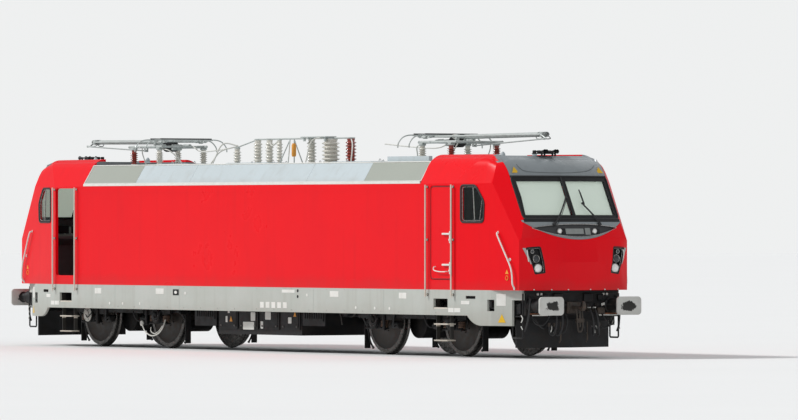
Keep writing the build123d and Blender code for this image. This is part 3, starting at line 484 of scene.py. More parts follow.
def makeWheelSteel(name):
    # Dark wheel bodies with brown rust in patches, their near black partly the real dark steel and partly
    # painted shade; the treads are a piece of their own
    material, tree = newMaterial(name)
    rust = speckle(tree, 9.0, 0.35, 0.7)
    return fillShader(material, {"Base Color": mixColour(tree, rust, (0.022, 0.02, 0.018),
                                                         (0.05, 0.036, 0.027)),
                                 "Roughness": spread(tree, rust, 0.45, 0.75), "Normal": bumpOf(tree, rust,
                                                                                               0.3)})


def makeBrightSteel(name, colour, worn):
    material, tree = newMaterial(name)
    marks = speckle(tree, 20.0, 0.4, 0.7)
    return fillShader(material, {"Base Color": mixColour(tree, marks, colour, worn), "Metallic": 0.9,
                                 "Roughness": spread(tree, marks, 0.2, 0.4)})


def makeRubber(name):
    # Black rubber with chalky patches
    material, tree = newMaterial(name)
    chalk = speckle(tree, 30.0, 0.45, 0.8)
    base = mixColour(tree, (chalk, 0.5), (0.012, 0.012, 0.013), (0.045, 0.045, 0.045))
    return fillShader(material, {"Base Color": base, "Roughness": spread(tree, chalk, 0.5, 0.75),
                                 "Normal": bumpOf(tree, chalk, 0.15, 0.001)})


def makeLampWhite(name):
    # The bright reflector and ribbed glass of a lit or sunlit lamp
    material, tree = newMaterial(name)
    ribs = nodeIn(tree, "TexWave", {"Vector": objectPlace(tree), "Scale": 60.0})
    base = mixColour(tree, (ribs.outputs["Fac"], 0.2), (0.85, 0.85, 0.82), (0.6, 0.6, 0.6))
    return fillShader(material, {"Base Color": base, "Coat Weight": 0.8, "Roughness": 0.15})


def makeBlind(name):
    # Pale roller blinds behind the windscreen, with faint folds
    material, tree = newMaterial(name)
    folds = nodeIn(tree, "TexWave", {"Vector": objectPlace(tree), "Scale": 6.0, "Distortion": 1.0},
                   bands_direction="Z")
    shade = speckle(tree, 1.1, 0.3, 0.75)
    base = mixColour(tree, (folds.outputs["Fac"], 0.25), (0.86, 0.93, 0.85), (0.82, 0.89, 0.81))
    base = mixColour(tree, (shade, 0.4), base, (0.78, 0.88, 0.8))
    # A little light of its own stands for the daylight that comes through the thin cloth
    return fillShader(material, {"Base Color": base, "Roughness": 0.7, "Emission Color": (0.8, 0.96, 0.8),
                                 "Emission Strength": 0.32})


def makeCloth(name):
    # Blue-grey woven seat cover: small cells of a Voronoi texture
    material, tree = newMaterial(name)
    weave = nodeIn(tree, "TexVoronoi", {"Vector": objectPlace(tree), "Scale": 220.0}).outputs["Distance"]
    return fillShader(material, {"Base Color": mixColour(tree, weave, (0.035, 0.045, 0.075),
                                                         (0.07, 0.085, 0.12)),
                                 "Roughness": 0.85, "Normal": bumpOf(tree, weave, 0.4, 0.001),
                                 "Sheen Weight": 0.3})


def makePlain(name, colour, worn, rough, scale=6.0):
    # Small fittings: one colour with a worn second tone
    material, tree = newMaterial(name)
    wear = speckle(tree, scale, 0.42, 0.72)
    return fillShader(material, {"Base Color": mixColour(tree, (wear, 0.6), colour, worn),
                                 "Roughness": spread(tree, wear, rough, min(1, rough + 0.2))})


materials = {
    "body_red": makePaint("bodyRed", redPaint),
    "skirt_grey": makePaint("skirtGrey", skirtPaint),
    "roof_grey": makePaint("roofGrey", roofPaint),
    "front_grey": makePaint("frontGrey", frontPaint),
    "rail_white": makePaint("railWhite", railPaint),
    "buffer_grey": makePaint("bufferGrey", bufferPaint),
    "black_steel": makeDarkSteel("blackSteel", (0.01, 0.01, 0.011), (0.045, 0.037, 0.03), 0.5, (0.45, 0.8)),
    "coupling_steel": makeDarkSteel("couplingSteel", (0.05, 0.042, 0.036), (0.12, 0.08, 0.055), 0.6,
                                    (0.4, 0.7)),
    "converter_grey": makePlain("converterGrey", (0.42, 0.43, 0.43), (0.36, 0.36, 0.35), 0.45),
    "window_glass": makeGlass("windowGlass", (0.02, 0.028, 0.028), 0.14, 0.04),
    "lamp_glass": makeGlass("lampGlass", (0.035, 0.038, 0.042), 1.0, 0.08),
    "cab_lining": makePlain("cabLining", (0.2, 0.2, 0.205), (0.16, 0.16, 0.165), 0.55),
    "seat_fabric": makeCloth("seatCloth"),
    "insulator_brown": makeCeramic("brownGlaze", (0.3, 0.045, 0.03), (0.16, 0.06, 0.045)),
    "insulator_cream": makeCeramic("creamGlaze", (0.7, 0.67, 0.6), (0.42, 0.38, 0.31)),
    "arm_grey": makeLightMetal("armGrey", (0.5, 0.53, 0.51), (0.3, 0.31, 0.29), 0.15),
    "wheel_steel": makeWheelSteel("wheelSteel"),
    "wiper_black": makeRubber("wiperBlack"),
}
rubber = makeRubber("sealRubber")
brightSteel = makeBrightSteel("brightSteel", (0.55, 0.54, 0.52), (0.32, 0.3, 0.28))
# The treads' bright steel is darkened to near black: painted shade under the body
shadedTreadSteel = makeBrightSteel("shadedTreadSteel", (0.11, 0.105, 0.1), (0.05, 0.046, 0.042))
lampWhite = makeLampWhite("lampWhite")
blindCloth = makeBlind("blindCloth")
signYellow = makePlain("signYellow", (0.75, 0.45, 0.01), (0.6, 0.36, 0.02), 0.4)
labelWhite = makePlain("labelWhite", (0.72, 0.72, 0.68), (0.58, 0.57, 0.52), 0.5)
whiteHose = makePlain("whiteHose", (0.66, 0.65, 0.6), (0.35, 0.33, 0.29), 0.5)
copperBrown = makePlain("copperBrown", (0.33, 0.13, 0.06), (0.2, 0.09, 0.05), 0.45)
springBrown = makePlain("springBrown", (0.13, 0.075, 0.05), (0.05, 0.036, 0.03), 0.5)
boxGrey = makePlain("boxGrey", (0.25, 0.265, 0.255), (0.15, 0.155, 0.15), 0.45)
orangePaint = makePlain("orangePaint", (0.8, 0.33, 0.03), (0.55, 0.25, 0.06), 0.45)
darkCarbon = makePlain("darkCarbon", (0.03, 0.03, 0.032), (0.06, 0.06, 0.06), 0.5, 40.0)
deepBlack = makePlain("deepBlack", (0.006, 0.006, 0.007), (0.012, 0.012, 0.012), 0.7)
steelGrey = makePlain("steelGrey", (0.1, 0.095, 0.09), (0.05, 0.045, 0.04), 0.5)
# A darker grey for the brow's crease: painted shade of the fold
creaseShadeGrey = makePlain("creaseShadeGrey", (0.13, 0.145, 0.15), (0.1, 0.11, 0.115), 0.4)
panelGrey = makePlain("panelGrey", (0.4, 0.39, 0.37), (0.33, 0.32, 0.31), 0.4)

for entry in frame["record"]["subparts"]:
    nodeObject = nodes[entry["node"]]
    nodeObject.data.materials.clear()
    nodeObject.data.materials.append(materials[entry["material_slot"]])
# Beyond 4.12 m from the middle the slopes are painted darker grey-green, a painted reflection
slopePaint = dict(roofPaint, panels=(0.33, 0.35, 0.305), reflectionStart=4.12)
nodes["roof_slopes"].data.materials[0] = makePaint("slopeGrey", slopePaint)
print("materials made")


studioSettings = {
    # Lights: name, strength, size of the disc, and the turns about x and z, in degrees
    "suns": [("keyLight", 2.5, 8, 48, -37), ("fillLight", 0.38, 40, 60, 75), ("backLight", 0.5, 40, 55, 200)],
    "skyColour": (0.93, 0.96, 1.0), "skyStrength": 0.46, "seenColour": (0.86, 0.87, 0.87),
    "floorRadius": 420, "floorSides": 96, "sensor": 36, "lens": 316.8, "nearest": 1, "furthest": 2000,
    # Where the camera stands and looks, from the fit to the photo
    "stand": (115.04, -74.8, 2.534), "look": (-0.831445, 0.555797, 0.001609),
}


def makeStudio():
    # Floor, sky, lights and camera
    settings = studioSettings
    floorMaterial, tree = newMaterial("floorPale")
    cloud = speckle(tree, 0.15, 0.3, 0.7)
    base = mixColour(tree, (cloud, 0.3), (0.78, 0.78, 0.77), (0.74, 0.74, 0.73))
    fillShader(floorMaterial, {"Base Color": base, "Roughness": 0.9})
    mesh = bpy.data.meshes.new("floor")
    sides = settings["floorSides"]
    ring = np.column_stack([circle(settings["floorRadius"], sides), np.zeros(sides)])
    mesh.from_pydata(ring.tolist(), [], [list(range(sides))])
    mesh.materials.append(floorMaterial)
    floor = addObject("floor", mesh)

    world = bpy.data.worlds.new("studio")
    bpy.context.scene.world = world
    world.use_nodes = True
    tree = world.node_tree
    tree.nodes.clear()
    light = nodeIn(tree, "Background", {"Color": settings["skyColour"], "Strength": settings["skyStrength"]})
    seen = nodeIn(tree, "Background", {"Color": settings["seenColour"], "Strength": 1.0})
    rays = nodeIn(tree, "LightPath")
    mix = nodeIn(tree, "MixShader", {0: rays.outputs["Is Camera Ray"], 1: light.outputs[0],
                                     2: seen.outputs[0]})
    nodeIn(tree, "OutputWorld", {"Surface": mix.outputs[0]})

    for name, energy, size, turnX, turnZ in settings["suns"]:
        lamp = bpy.data.lights.new(name, "SUN")
        lamp.energy = energy
        lamp.angle = math.radians(size)
        addObject(name, lamp).rotation_euler = (math.radians(turnX), 0, math.radians(turnZ))

    camera = bpy.data.cameras.new("camera")
    camera.sensor_width = settings["sensor"]
    camera.lens = settings["lens"]
    camera.clip_start = settings["nearest"]
    camera.clip_end = settings["furthest"]
    cameraObject = addObject("camera", camera)
    cameraObject.location = settings["stand"]
    look = np.array(settings["look"])
    heading = math.atan2(look[1], look[0]) - math.pi / 2
    cameraObject.rotation_euler = (math.pi / 2 + math.asin(look[2] / np.linalg.norm(look)), 0, heading)
    bpy.context.scene.camera = cameraObject
    bpy.context.scene.view_settings.view_transform = "Standard"


makeStudio()
print("studio made")


def hose(points, radius, sides=10, steps=8):
    return tube(smoothPath(points, steps), radius, sides)


def both(values):
    # Each value with both signs, for what stands on both sides
    return [sign * value for value in values for sign in (-1, 1)]


def boltCircle(centre, axis, reach, count, start, length, radius):
    # Six-sided bolts evenly spaced round the axis x or y: cosine along the other level axis, sine in height
    way = np.array(axis, float)
    level = np.abs(way[[1, 0, 2]])
    bolts = []
    for turn in math.radians(start) + np.arange(count) * 2 * math.pi / count:
        foot = centre + reach * (math.cos(turn) * level + math.sin(turn) * np.array([0, 0, 1.0]))
        bolts.append(rod(foot, foot + length * way, radius, 6))
    return bolts


def slab(front, back):
    # Two grids of points, joined round their edges into one closed plate
    rows, columns = front.shape[:2]
    count = rows * columns
    index = np.arange(count).reshape(rows, columns)
    edge = np.concatenate([index[0, :-1], index[:-1, -1], index[-1, :0:-1], index[:0:-1, 0]])
    after = np.roll(edge, -1)
    sheet = gridFaces(rows, columns)
    faces = sheet + [[value + count for value in face] for face in sheet]
    faces += np.stack([edge, after, after + count, edge + count], axis=1).tolist()
    return np.vstack([front.reshape(-1, 3), back.reshape(-1, 3)]), faces


def closedSweep(path, profile, up):
    # A profile carried round a closed path; its directions are the tangent's cross products with up
    path = np.asarray(path, float)
    profile = np.asarray(profile, float)
    tangent = np.roll(path, -1, 0) - np.roll(path, 1, 0)
    across = np.cross(tangent, np.asarray(up, float))
    across /= np.linalg.norm(across, axis=1)[:, None]
    lift = np.cross(across, tangent)
    lift /= np.linalg.norm(lift, axis=1)[:, None]
    faces = gridFaces(len(path), len(profile), closeRows=True, closeColumns=True)
    return carried(path, across, lift, profile), faces


def ringPath(centre, first, second, radius, count, height=None):
    # Points round a circle or ellipse: cosine along the first axis and sine along the second
    turn = np.linspace(0, 2 * math.pi, count, endpoint=False)
    path = np.tile(np.asarray(centre, float), (count, 1))
    path[:, first] += radius * np.cos(turn)
    path[:, second] += (height or radius) * np.sin(turn)
    return path


def roundedLoop(corners, radius, steps=6):
    # Each corner becomes a quadratic curve that starts and ends at the radius from it
    corners = np.asarray(corners, float)
    before = np.roll(corners, 1, 0) - corners
    after = np.roll(corners, -1, 0) - corners
    start = (corners + radius * before / np.linalg.norm(before, axis=1)[:, None])[:, None]
    end = (corners + radius * after / np.linalg.norm(after, axis=1)[:, None])[:, None]
    share = np.linspace(0, 1, steps)[None, :, None]
    curve = (1 - share) ** 2 * start + 2 * share * (1 - share) * corners[:, None] + share ** 2 * end
    return curve.reshape(-1, 2)


def resample(loop, count):
    # Points evenly spaced along a closed loop, each coordinate read off against the length walked
    closed = np.vstack([loop, loop[:1]])
    walked = np.concatenate([[0], np.cumsum(np.linalg.norm(np.diff(closed, axis=0), axis=1))])
    marks = np.linspace(0, walked[-1], count, endpoint=False)
    return np.stack([np.interp(marks, walked, closed[:, axis]) for axis in range(closed.shape[1])], axis=1)


# The curved front of a cab: height and x on the centre line, and the radius of the arc across
noseRows = np.array([(1.261, 9.14), (1.78, 9.18), (2.23, 9.13), (2.53, 9.045), (3.785, 8.355)])
noseRadius = 4.1319
# The sides: half the width, where the taper towards the nose starts, and how much it takes per metre
halfWidth = 1.4885
taperStart = 7.2
taper = 0.154
roofLevel = 3.65


def frontPoints(y, z, out=0.0):
    # x is the nose line's at that height, less the sag of the arc at y, plus the stand-off
    y, z = np.broadcast_arrays(np.asarray(y, float), np.asarray(z, float))
    x = np.interp(z, noseRows[:, 0], noseRows[:, 1]) - noseRadius + np.sqrt(noseRadius ** 2 - y ** 2) + out
    return np.stack([x, y, z], axis=-1)


def frontSlab(corners, back, front, rows=8, columns=10):
    # Bilinear between (y, z) corners at low left, low right, high right and high left, lifted onto the front
    t, s = np.meshgrid(np.linspace(0, 1, rows), np.linspace(0, 1, columns), indexing="ij")
    a, b, c, d = [np.asarray(corner, float) for corner in corners]
    s, t = s[..., None], t[..., None]
    flat = (1 - s) * (1 - t) * a + s * (1 - t) * b + s * t * c + (1 - s) * t * d
    return slab(frontPoints(flat[..., 0], flat[..., 1], front), frontPoints(flat[..., 0], flat[..., 1], back))


def frontPanel(y0, y1, z0, z1, back, front, rows, columns):
    # A level panel on the front
    return frontSlab([(y0, z0), (y1, z0), (y1, z1), (y0, z1)], back, front, rows, columns)


def sideY(x):
    # The side stands at half the body width and tapers in towards the nose
    return halfWidth - taper * np.maximum(0, np.abs(x) - taperStart)


wheelSettings = {
    "axles": {"1a": -6.52, "1b": -3.92, "2a": 3.92, "2b": 6.52}, "height": 0.655,
    "rust": [(0.0, 0.0), (0.085, 0.0), (0.085, 0.3), (0.12, 0.31), (0.12, 0.36), (0.085, 0.37), (0.085, 0.6),
             (0.125, 0.615), (0.13, 0.66), (0.3, 0.715), (0.5, 0.735), (0.548, 0.722), (0.553, 0.69)],
    "outer": [(0.553, 0.8), (0.545, 0.806), (0.5, 0.785), (0.3, 0.765), (0.135, 0.795), (0.125, 0.82),
              (0.085, 0.825), (0.085, 0.88)],
    "tread": [(0.545, 0.684), (0.642, 0.68), (0.652, 0.69), (0.655, 0.7), (0.65, 0.709), (0.636, 0.716),
              (0.629, 0.725), (0.6275, 0.745), (0.6235, 0.79), (0.62, 0.806), (0.611, 0.815), (0.545, 0.815),
              (0.545, 0.684)],
    "journal": [(0.0, 0.88), (0.065, 0.88), (0.065, 1.07), (0.055, 1.075), (0.0, 1.075)],
    # The bolts' middles along the axle, and how many stand at what distance from it
    "boltPlanes": (0.718, 0.79), "bolts": 9, "boltReach": 0.2,
}


def makeWheelsets():
    # Wheels and axle are one turned profile of (radius, distance along the axle); the tyre surface is a piece
    # of its own, in steel darkened as painted shade
    settings = wheelSettings
    along = (0, 1, 0)
    for name, x in settings["axles"].items():
        centre = (x, 0, settings["height"])
        body = "wheelset_" + name
        parts = [lathe(settings["rust"] + settings["outer"], centre, along, 64),
                 lathe(settings["journal"], centre, along, 24)]
        for plane in settings["boltPlanes"]:
            parts += boltCircle((x, plane - 0.012, settings["height"]), along, settings["boltReach"],
                                settings["bolts"], 0, 0.024, 0.014)
        addPiece("wheels_" + name, twoSides(parts), "wheel_steel", body, replaces=[body])
        tread = lathe(settings["tread"], centre, along, 96)
        addPiece("treads_" + name, twoSides([tread]), shadedTreadSteel, body, "wheel_steel")


springSettings = {"bogies": {"1": -5.22, "2": 5.22}, "offsets": (-0.25, 0.25), "low": 0.885, "high": 1.325,
                  "coilRadius": 0.098, "wireRadius": 0.019, "turns": 6.0, "y": 1.01}


def helix(foot, height, radius, wire, turns, sides=6, steps=14):
    # x = r cos t and y = r sin t while z climbs evenly
    turn = np.linspace(0, turns * 2 * math.pi, int(turns * steps) + 1)
    coil = np.stack([radius * np.cos(turn), radius * np.sin(turn), height * turn / turn[-1]], axis=1)
    return tube(np.asarray(foot, float) + coil, wire, sides)


def makeSprings():
    # Each spring is a wire carried along a helix, with flat seats above and below and a guide inside
    settings = springSettings
    low, high = settings["low"], settings["high"]
    seatRows = [(0, 0), (0.118, 0), (0.12, 0.004), (0.12, 0.022), (0.116, 0.027), (0, 0.027)]
    for bogie, x in settings["bogies"].items():
        parts = []
        for offset in settings["offsets"]:
            for y in both([settings["y"]]):
                parts.append(helix((x + offset, y, low + 0.03), high - low - 0.06, settings["coilRadius"],
                                   settings["wireRadius"], settings["turns"], 8, 20))
                parts += [lathe(seatRows, (x + offset, y, seat), segments=28) for seat in (low, high - 0.028)]
                parts.append(lathe([(0, 0.9), (0.05, 0.9), (0.05, 1.3), (0, 1.3)], (x + offset, y, 0),
                                   segments=16))
        addPiece("springs_" + bogie, parts, "black_steel", "bogie_" + bogie,
                 replaces=["bogie_springs_" + bogie])


def ribbedProfile(foot, top, core, shed, sheds):
    # A porcelain post: caps at both ends and evenly spaced drooping sheds between them
    rows = [(0, foot), (core * 1.25, foot), (core * 1.25, foot + 0.028), (core, foot + 0.034)]
    pitch = (top - foot - 0.09) / sheds
    for index in range(sheds):
        base = foot + 0.045 + index * pitch
        rows += [(core, base), (shed * 0.93, base + pitch * 0.28), (shed, base + pitch * 0.36),
                 (shed * 0.97, base + pitch * 0.46), (core * 1.15, base + pitch * 0.72),
                 (core, base + pitch * 0.86)]
    return rows + [(core, top - 0.04), (core * 1.1, top - 0.034), (core * 1.1, top), (0, top)]


insulatorSettings = {"x": (4.72, 5.69), "y": 0.52, "top": 4.002, "core": 0.045, "shed": 0.078, "sheds": 5}


def makeInsulators():
    # The pantographs' feet; those at the outer corners are brown, apart from one
    settings = insulatorSettings
    brown, cream, caps = [], [], []
    post = ribbedProfile(roofLevel + 0.03, settings["top"] - 0.03, settings["core"], settings["shed"],
                         settings["sheds"])
    cap = [(0, 0), (0.068, 0), (0.07, 0.006), (0.07, 0.024), (0.055, 0.035), (0, 0.035)]
    for x in both(settings["x"]):
        for y in both([settings["y"]]):
            brownOne = abs(x) > 5 and (x > 0 or y < 0)
            (brown if brownOne else cream).append(lathe(post, (x, y, 0), segments=28))
            caps += [lathe(cap, (x, y, low), segments=24) for low in (roofLevel, settings["top"] - 0.035)]
    addPiece("brown_feet", brown, "insulator_brown", replaces=["roof_insulators"])
    addPiece("cream_feet", cream, "insulator_cream", replaces=["roof_insulators"])
    addPiece("feet_caps", caps, "arm_grey")


switchSettings = {
    # Columns: x, top, core radius, shed radius, sheds, colour
    "posts": [(0.76, 4.16, 0.12, 0.18, 5, "cream"), (0.075, 4.16, 0.06, 0.098, 6, "cream"),
              (1.47, 4.16, 0.07, 0.108, 6, "brown"), (-1.08, 4.15, 0.04, 0.065, 6, "cream"),
              (-1.445, 4.16, 0.055, 0.085, 6, "cream"), (-1.87, 4.16, 0.06, 0.09, 6, "cream"),
              (-2.63, 4.0, 0.05, 0.08, 4, "cream")],
    # Start, middle and end of each cable
    "cables": [((-2.63, 0, 4.02), (-2.85, -0.25, 3.92), (-2.95, -0.42, 3.68)),
               ((-2.45, -0.1, 4.03), (-2.7, -0.3, 4.06), (-2.82, -0.46, 3.68)),
               ((0.76, -0.1, 4.16), (0.55, -0.3, 4.1), (0.5, -0.42, 3.68)),
               ((1.47, 0, 4.15), (1.75, -0.15, 4.0), (1.85, -0.25, 3.68)),
               ((-1.08, 0, 4.14), (-1.26, -0.06, 4.02), (-1.445, 0, 4.14))],
}


def makeSwitchgear():
    # Posts with sheds, their caps, the busbar on top, a switch with its linkage, an arrester and cables
    cream, brown, metal = [], [], []
    foot = roofLevel
    for x, top, core, shed, sheds, colour in switchSettings["posts"]:
        post = lathe(ribbedProfile(foot + 0.02, top - 0.02, core, shed, sheds), (x, 0, 0), segments=32)
        (cream if colour == "cream" else brown).append(post)
        metal += [lathe(rows, (x, 0, 0), segments=24) for rows in (
            [(0, foot), (core * 1.6, foot), (core * 1.6, foot + 0.016), (core * 1.3, foot + 0.022),
             (0, foot + 0.022)],
            [(0, top - 0.022), (core * 1.2, top - 0.022), (core * 1.2, top - 0.004), (core, top + 0.003),
             (0, top + 0.003)])]
    metal += [tube([(-1.87, 0, 4.15), (-0.9, 0, 4.153), (0.2, 0, 4.153), (1.47, 0, 4.15)], 0.016, 12),
              rod((-2.63, 0, 4.0), (-1.87, 0, 4.15), 0.013),
              block((0.43, -0.075, 4.175), (0.9, 0.26, 0.026), 0.006)]
    metal += [block((x, -0.16, 4.13), (0.05, 0.04, 0.07), 0.006) for x in (0.06, 0.8)]
    metal += [rod((-0.55 + lean, y, 3.655), (-0.55, topY, 4.13), 0.012)
              for lean in both([0.16]) for y, topY in ((-0.25, -0.1), (0.1, 0))]
    orange = [lathe([(0, 3.8), (0.035, 3.8), (0.045, 3.83), (0.045, 4.02), (0.03, 4.06), (0, 4.06)],
                    (-0.38, -0.12, 0), segments=20)]
    addPiece("roof_posts_cream", cream, "insulator_cream", replaces=["roof_switchgear"])
    addPiece("roof_posts_brown", brown, "insulator_brown")
    addPiece("roof_switches", metal, "arm_grey")
    addPiece("roof_cables", [hose(run, 0.014, steps=10) for run in switchSettings["cables"]], whiteHose)
    addPiece("surge_arrester", orange, orangePaint)


headSettings = {
    "x": 4.74, "stripOffset": 0.19, "top": 4.2, "axisHeight": 4.128,
    # Distance from the middle and drop below the top, along each curved horn
    "horn": [(0.6, 0.018), (0.74, 0.026), (0.85, 0.062), (0.93, 0.135), (0.963, 0.2), (0.97, 0.262)],
    "carbon": [(-0.017, -0.012), (0.017, -0.012), (0.015, 0.01), (0.008, 0.013), (-0.008, 0.013),
               (-0.015, 0.01)],
    "carrier": [(-0.022, -0.012), (0.022, -0.012), (0.022, 0.01), (0.018, 0.014), (-0.018, 0.014),
                (-0.022, 0.01)],
}


def makePantographHeads():
    # Carbon strips on light carriers, curved end horns, sprung side arms and the turning axis
    settings = headSettings
    top = settings["top"]
    sleeve = [(0, -0.055), (0.03, -0.055), (0.034, -0.05), (0.034, 0.05), (0.03, 0.055), (0, 0.055)]
    for bogie, end in ends.items():
        carbon, alloy = [], []
        middle = end * settings["x"]
        for x in (middle - settings["stripOffset"], middle + settings["stripOffset"]):
            for target, profile, reach, drop in ((carbon, settings["carbon"], 0.6, 0.014),
                                                 (alloy, settings["carrier"], 0.62, 0.04)):
                target.append(sweep([(x, y, top - drop) for y in np.linspace(-reach, reach, 13)], profile))
            for flank in (-1, 1):
                curve = [(x, flank * y, top - drop - 0.013) for y, drop in settings["horn"]]
                alloy += [hose(curve, 0.0125, steps=6), block((x, flank * 0.47, top - 0.062),
                                                              (0.05, 0.07, 0.03), 0.006)]
        alloy += [lathe(sleeve, (middle, y, settings["axisHeight"]), (1, 0, 0), segments=20)
                  for y in (-0.47, 0.47)]
        alloy.append(rod((middle, -0.48, 4.135), (middle, 0.48, 4.135), 0.014))
        for y, reach, drop, radius in ((0.47, 0.2, 0.078, 0.013), (0.3, 0.19, 0.058, 0.008)):
            alloy += [rod((middle - reach, side, top - drop), (middle + reach, side, top - drop), radius)
                      for side in (-y, y)]
        head = "pantograph_head_" + bogie
        addPiece("carbon_strips_" + bogie, carbon, darkCarbon, head, replaces=[head])
        addPiece("strip_carriers_" + bogie, alloy, "arm_grey", head, replaces=[head])


makeWheelsets()
makeSprings()
print("running gear made")
makeInsulators()
makeSwitchgear()
makePantographHeads()
print("roof gear made")


def frontLoop(corners, radius, out, profile, count=120):
    # A profile carried round a rounded loop of (y, z) points on the curved front
    flat = resample(roundedLoop(corners, radius), count)
    return closedSweep(frontPoints(flat[:, 0], flat[:, 1], out), profile, (1.0, 0.0, 0.35))


# Half width, lower and upper edge of the windscreen, and how far behind the front its printed border lies
screenSettings = {"halfWidth": 1.085, "low": 2.575, "high": 3.376, "corner": 0.06,
                  "print": (-0.0125, -0.0095)}


def makeWindscreens():
    # Rubber seal, black printed border with a centre band, and pale blinds behind the glass
    settings = screenSettings
    w, low, high = settings["halfWidth"], settings["low"], settings["high"]
    middle = (low + high) / 2
    y, z0, z1 = w - 0.008, low + 0.008, high - 0.008
    seal = frontLoop([(-y, z0), (y, z0), (y, z1), (-y, z1)], settings["corner"], -0.004,
                     roundedOutline(0.026, 0.022, 0.008, 3))
    border = [frontPanel(0.01 - w, w - 0.01, high - 0.105, high - 0.008, *settings["print"], 4, 24),
              frontPanel(0.01 - w, w - 0.01, low + 0.008, low + 0.075, *settings["print"], 4, 24),
              frontSlab([(0.006 - w, low - 0.052), (w - 0.006, low - 0.052), (w - 0.004, low + 0.004),
                         (0.004 - w, low + 0.004)], -0.002, 0.003, 4, 24),
              frontPanel(-0.035, 0.035, low + 0.07, high - 0.1, *settings["print"], 12, 3)]
    for side in (-1, 1):
        outer = side * (w - 0.01)
        for z, y, nextZ, nextY in ((low + 0.07, w - 0.075, middle, w - 0.105),
                                   (middle, w - 0.105, high - 0.1, w - 0.095)):
            border.append(frontSlab([(outer, z), (side * y, z), (side * nextY, nextZ), (outer, nextZ)],
                                    *settings["print"], 8, 3))
    blinds = [frontPanel(y0, y1, low + 0.045, high - 0.03, -0.075, -0.06, 16, 12)
              for y0, y1 in ((-0.985, -0.05), (0.07, 0.985))]
    addPiece("screen_seals", twoEnds([seal]), rubber, slot="wiper_black")
    addPiece("screen_borders", twoEnds(border), deepBlack)
    addPiece("screen_blinds", twoEnds(blinds), blindCloth)


# Columns: pivot, end of the arm, top of the blade, foot of the blade, each as (y, z)
wiperSettings = {"rows": [((-0.496, 2.48), (-0.098, 2.967), (-0.058, 3.35), (-0.084, 2.695)),
                          ((0.52, 2.48), (0.237, 2.863), (0.275, 3.119), (0.288, 2.799))]}


def makeWipers():
    # Each arm is a flat bar that bows out from the panel, with a thin link beside it and a blade in a holder
    parts = []
    up = (1, 0, 0.4)
    t = np.linspace(0, 1, 14)[:, None]
    bow = 0.03 + 0.022 * np.sin(math.pi * t[:, 0])
    for pivot, arm, top, foot in [np.array(row) for row in wiperSettings["rows"]]:
        line = pivot * (1 - t) + arm * t
        beside = line + np.array([0.045, -0.01]) * (1 - 0.5 * t)
        blade = foot * (1 - t) + top * t
        held = blade[2:-2]
        parts += [sweep(frontPoints(line[:, 0], line[:, 1], bow), roundedOutline(0.03, 0.012, 0.004, 2),
                        up=up),
                  tube(frontPoints(beside[:, 0], beside[:, 1], bow - 0.004), 0.006, 8),
                  sweep(frontPoints(blade[:, 0], blade[:, 1], 0.014), roundedOutline(0.022, 0.02, 0.006, 2),
                        up=up),
                  sweep(frontPoints(held[:, 0], held[:, 1], 0.034), roundedOutline(0.014, 0.014, 0.004, 2),
                        up=up),
                  lathe([(0, -0.01), (0.034, -0.01), (0.036, 0.0), (0.036, 0.028), (0.026, 0.042),
                         (0, 0.046)], frontPoints(*pivot), (1, 0, 0.25), segments=24),
                  lathe([(0, 0), (0.017, 0), (0.019, 0.004), (0.019, 0.022), (0.012, 0.028), (0, 0.028)],
                        frontPoints(*arm, 0.022), up, segments=16)]
    addPiece("wiper_arms", twoEnds(parts), "wiper_black", replaces=["wipers"])


lampSettings = {
    "corners": [(1.106, 2.036), (0.824, 2.056), (0.739, 1.584), (0.941, 1.559)],
    # Each lamp's y, z and the radius of its lens
    "upper": (0.905, 1.845, 0.062), "lower": (0.868, 1.668, 0.076), "marker": (0.965, 1.975, 0.03),
    "small": (0.395, 2.352, 0.04),
}


def lampDome(y, z, radius, rise, out):
    # A shallow glass cap: a circle's arc turned about the lamp's axis
    turn = np.linspace(0, math.pi / 2, 7)
    rows = np.stack([radius * np.cos(turn), rise * np.sin(turn)], axis=1).tolist()
    return lathe([(0.0, -0.006), (radius, -0.006)] + rows, frontPoints(y, z, out), (1, 0, 0), segments=40)


def lampRim(y, z, radius, out, depth, width, shoulder, segments):
    # A ring round a lens, bevelled to its front
    rows = [(radius, -depth), (radius + width, -depth), (radius + width, shoulder), (radius + 0.006, 0.012),
            (radius, 0.006), (radius, -depth)]
    return lathe(rows, frontPoints(y, z, out), (1, 0, 0), segments=segments)


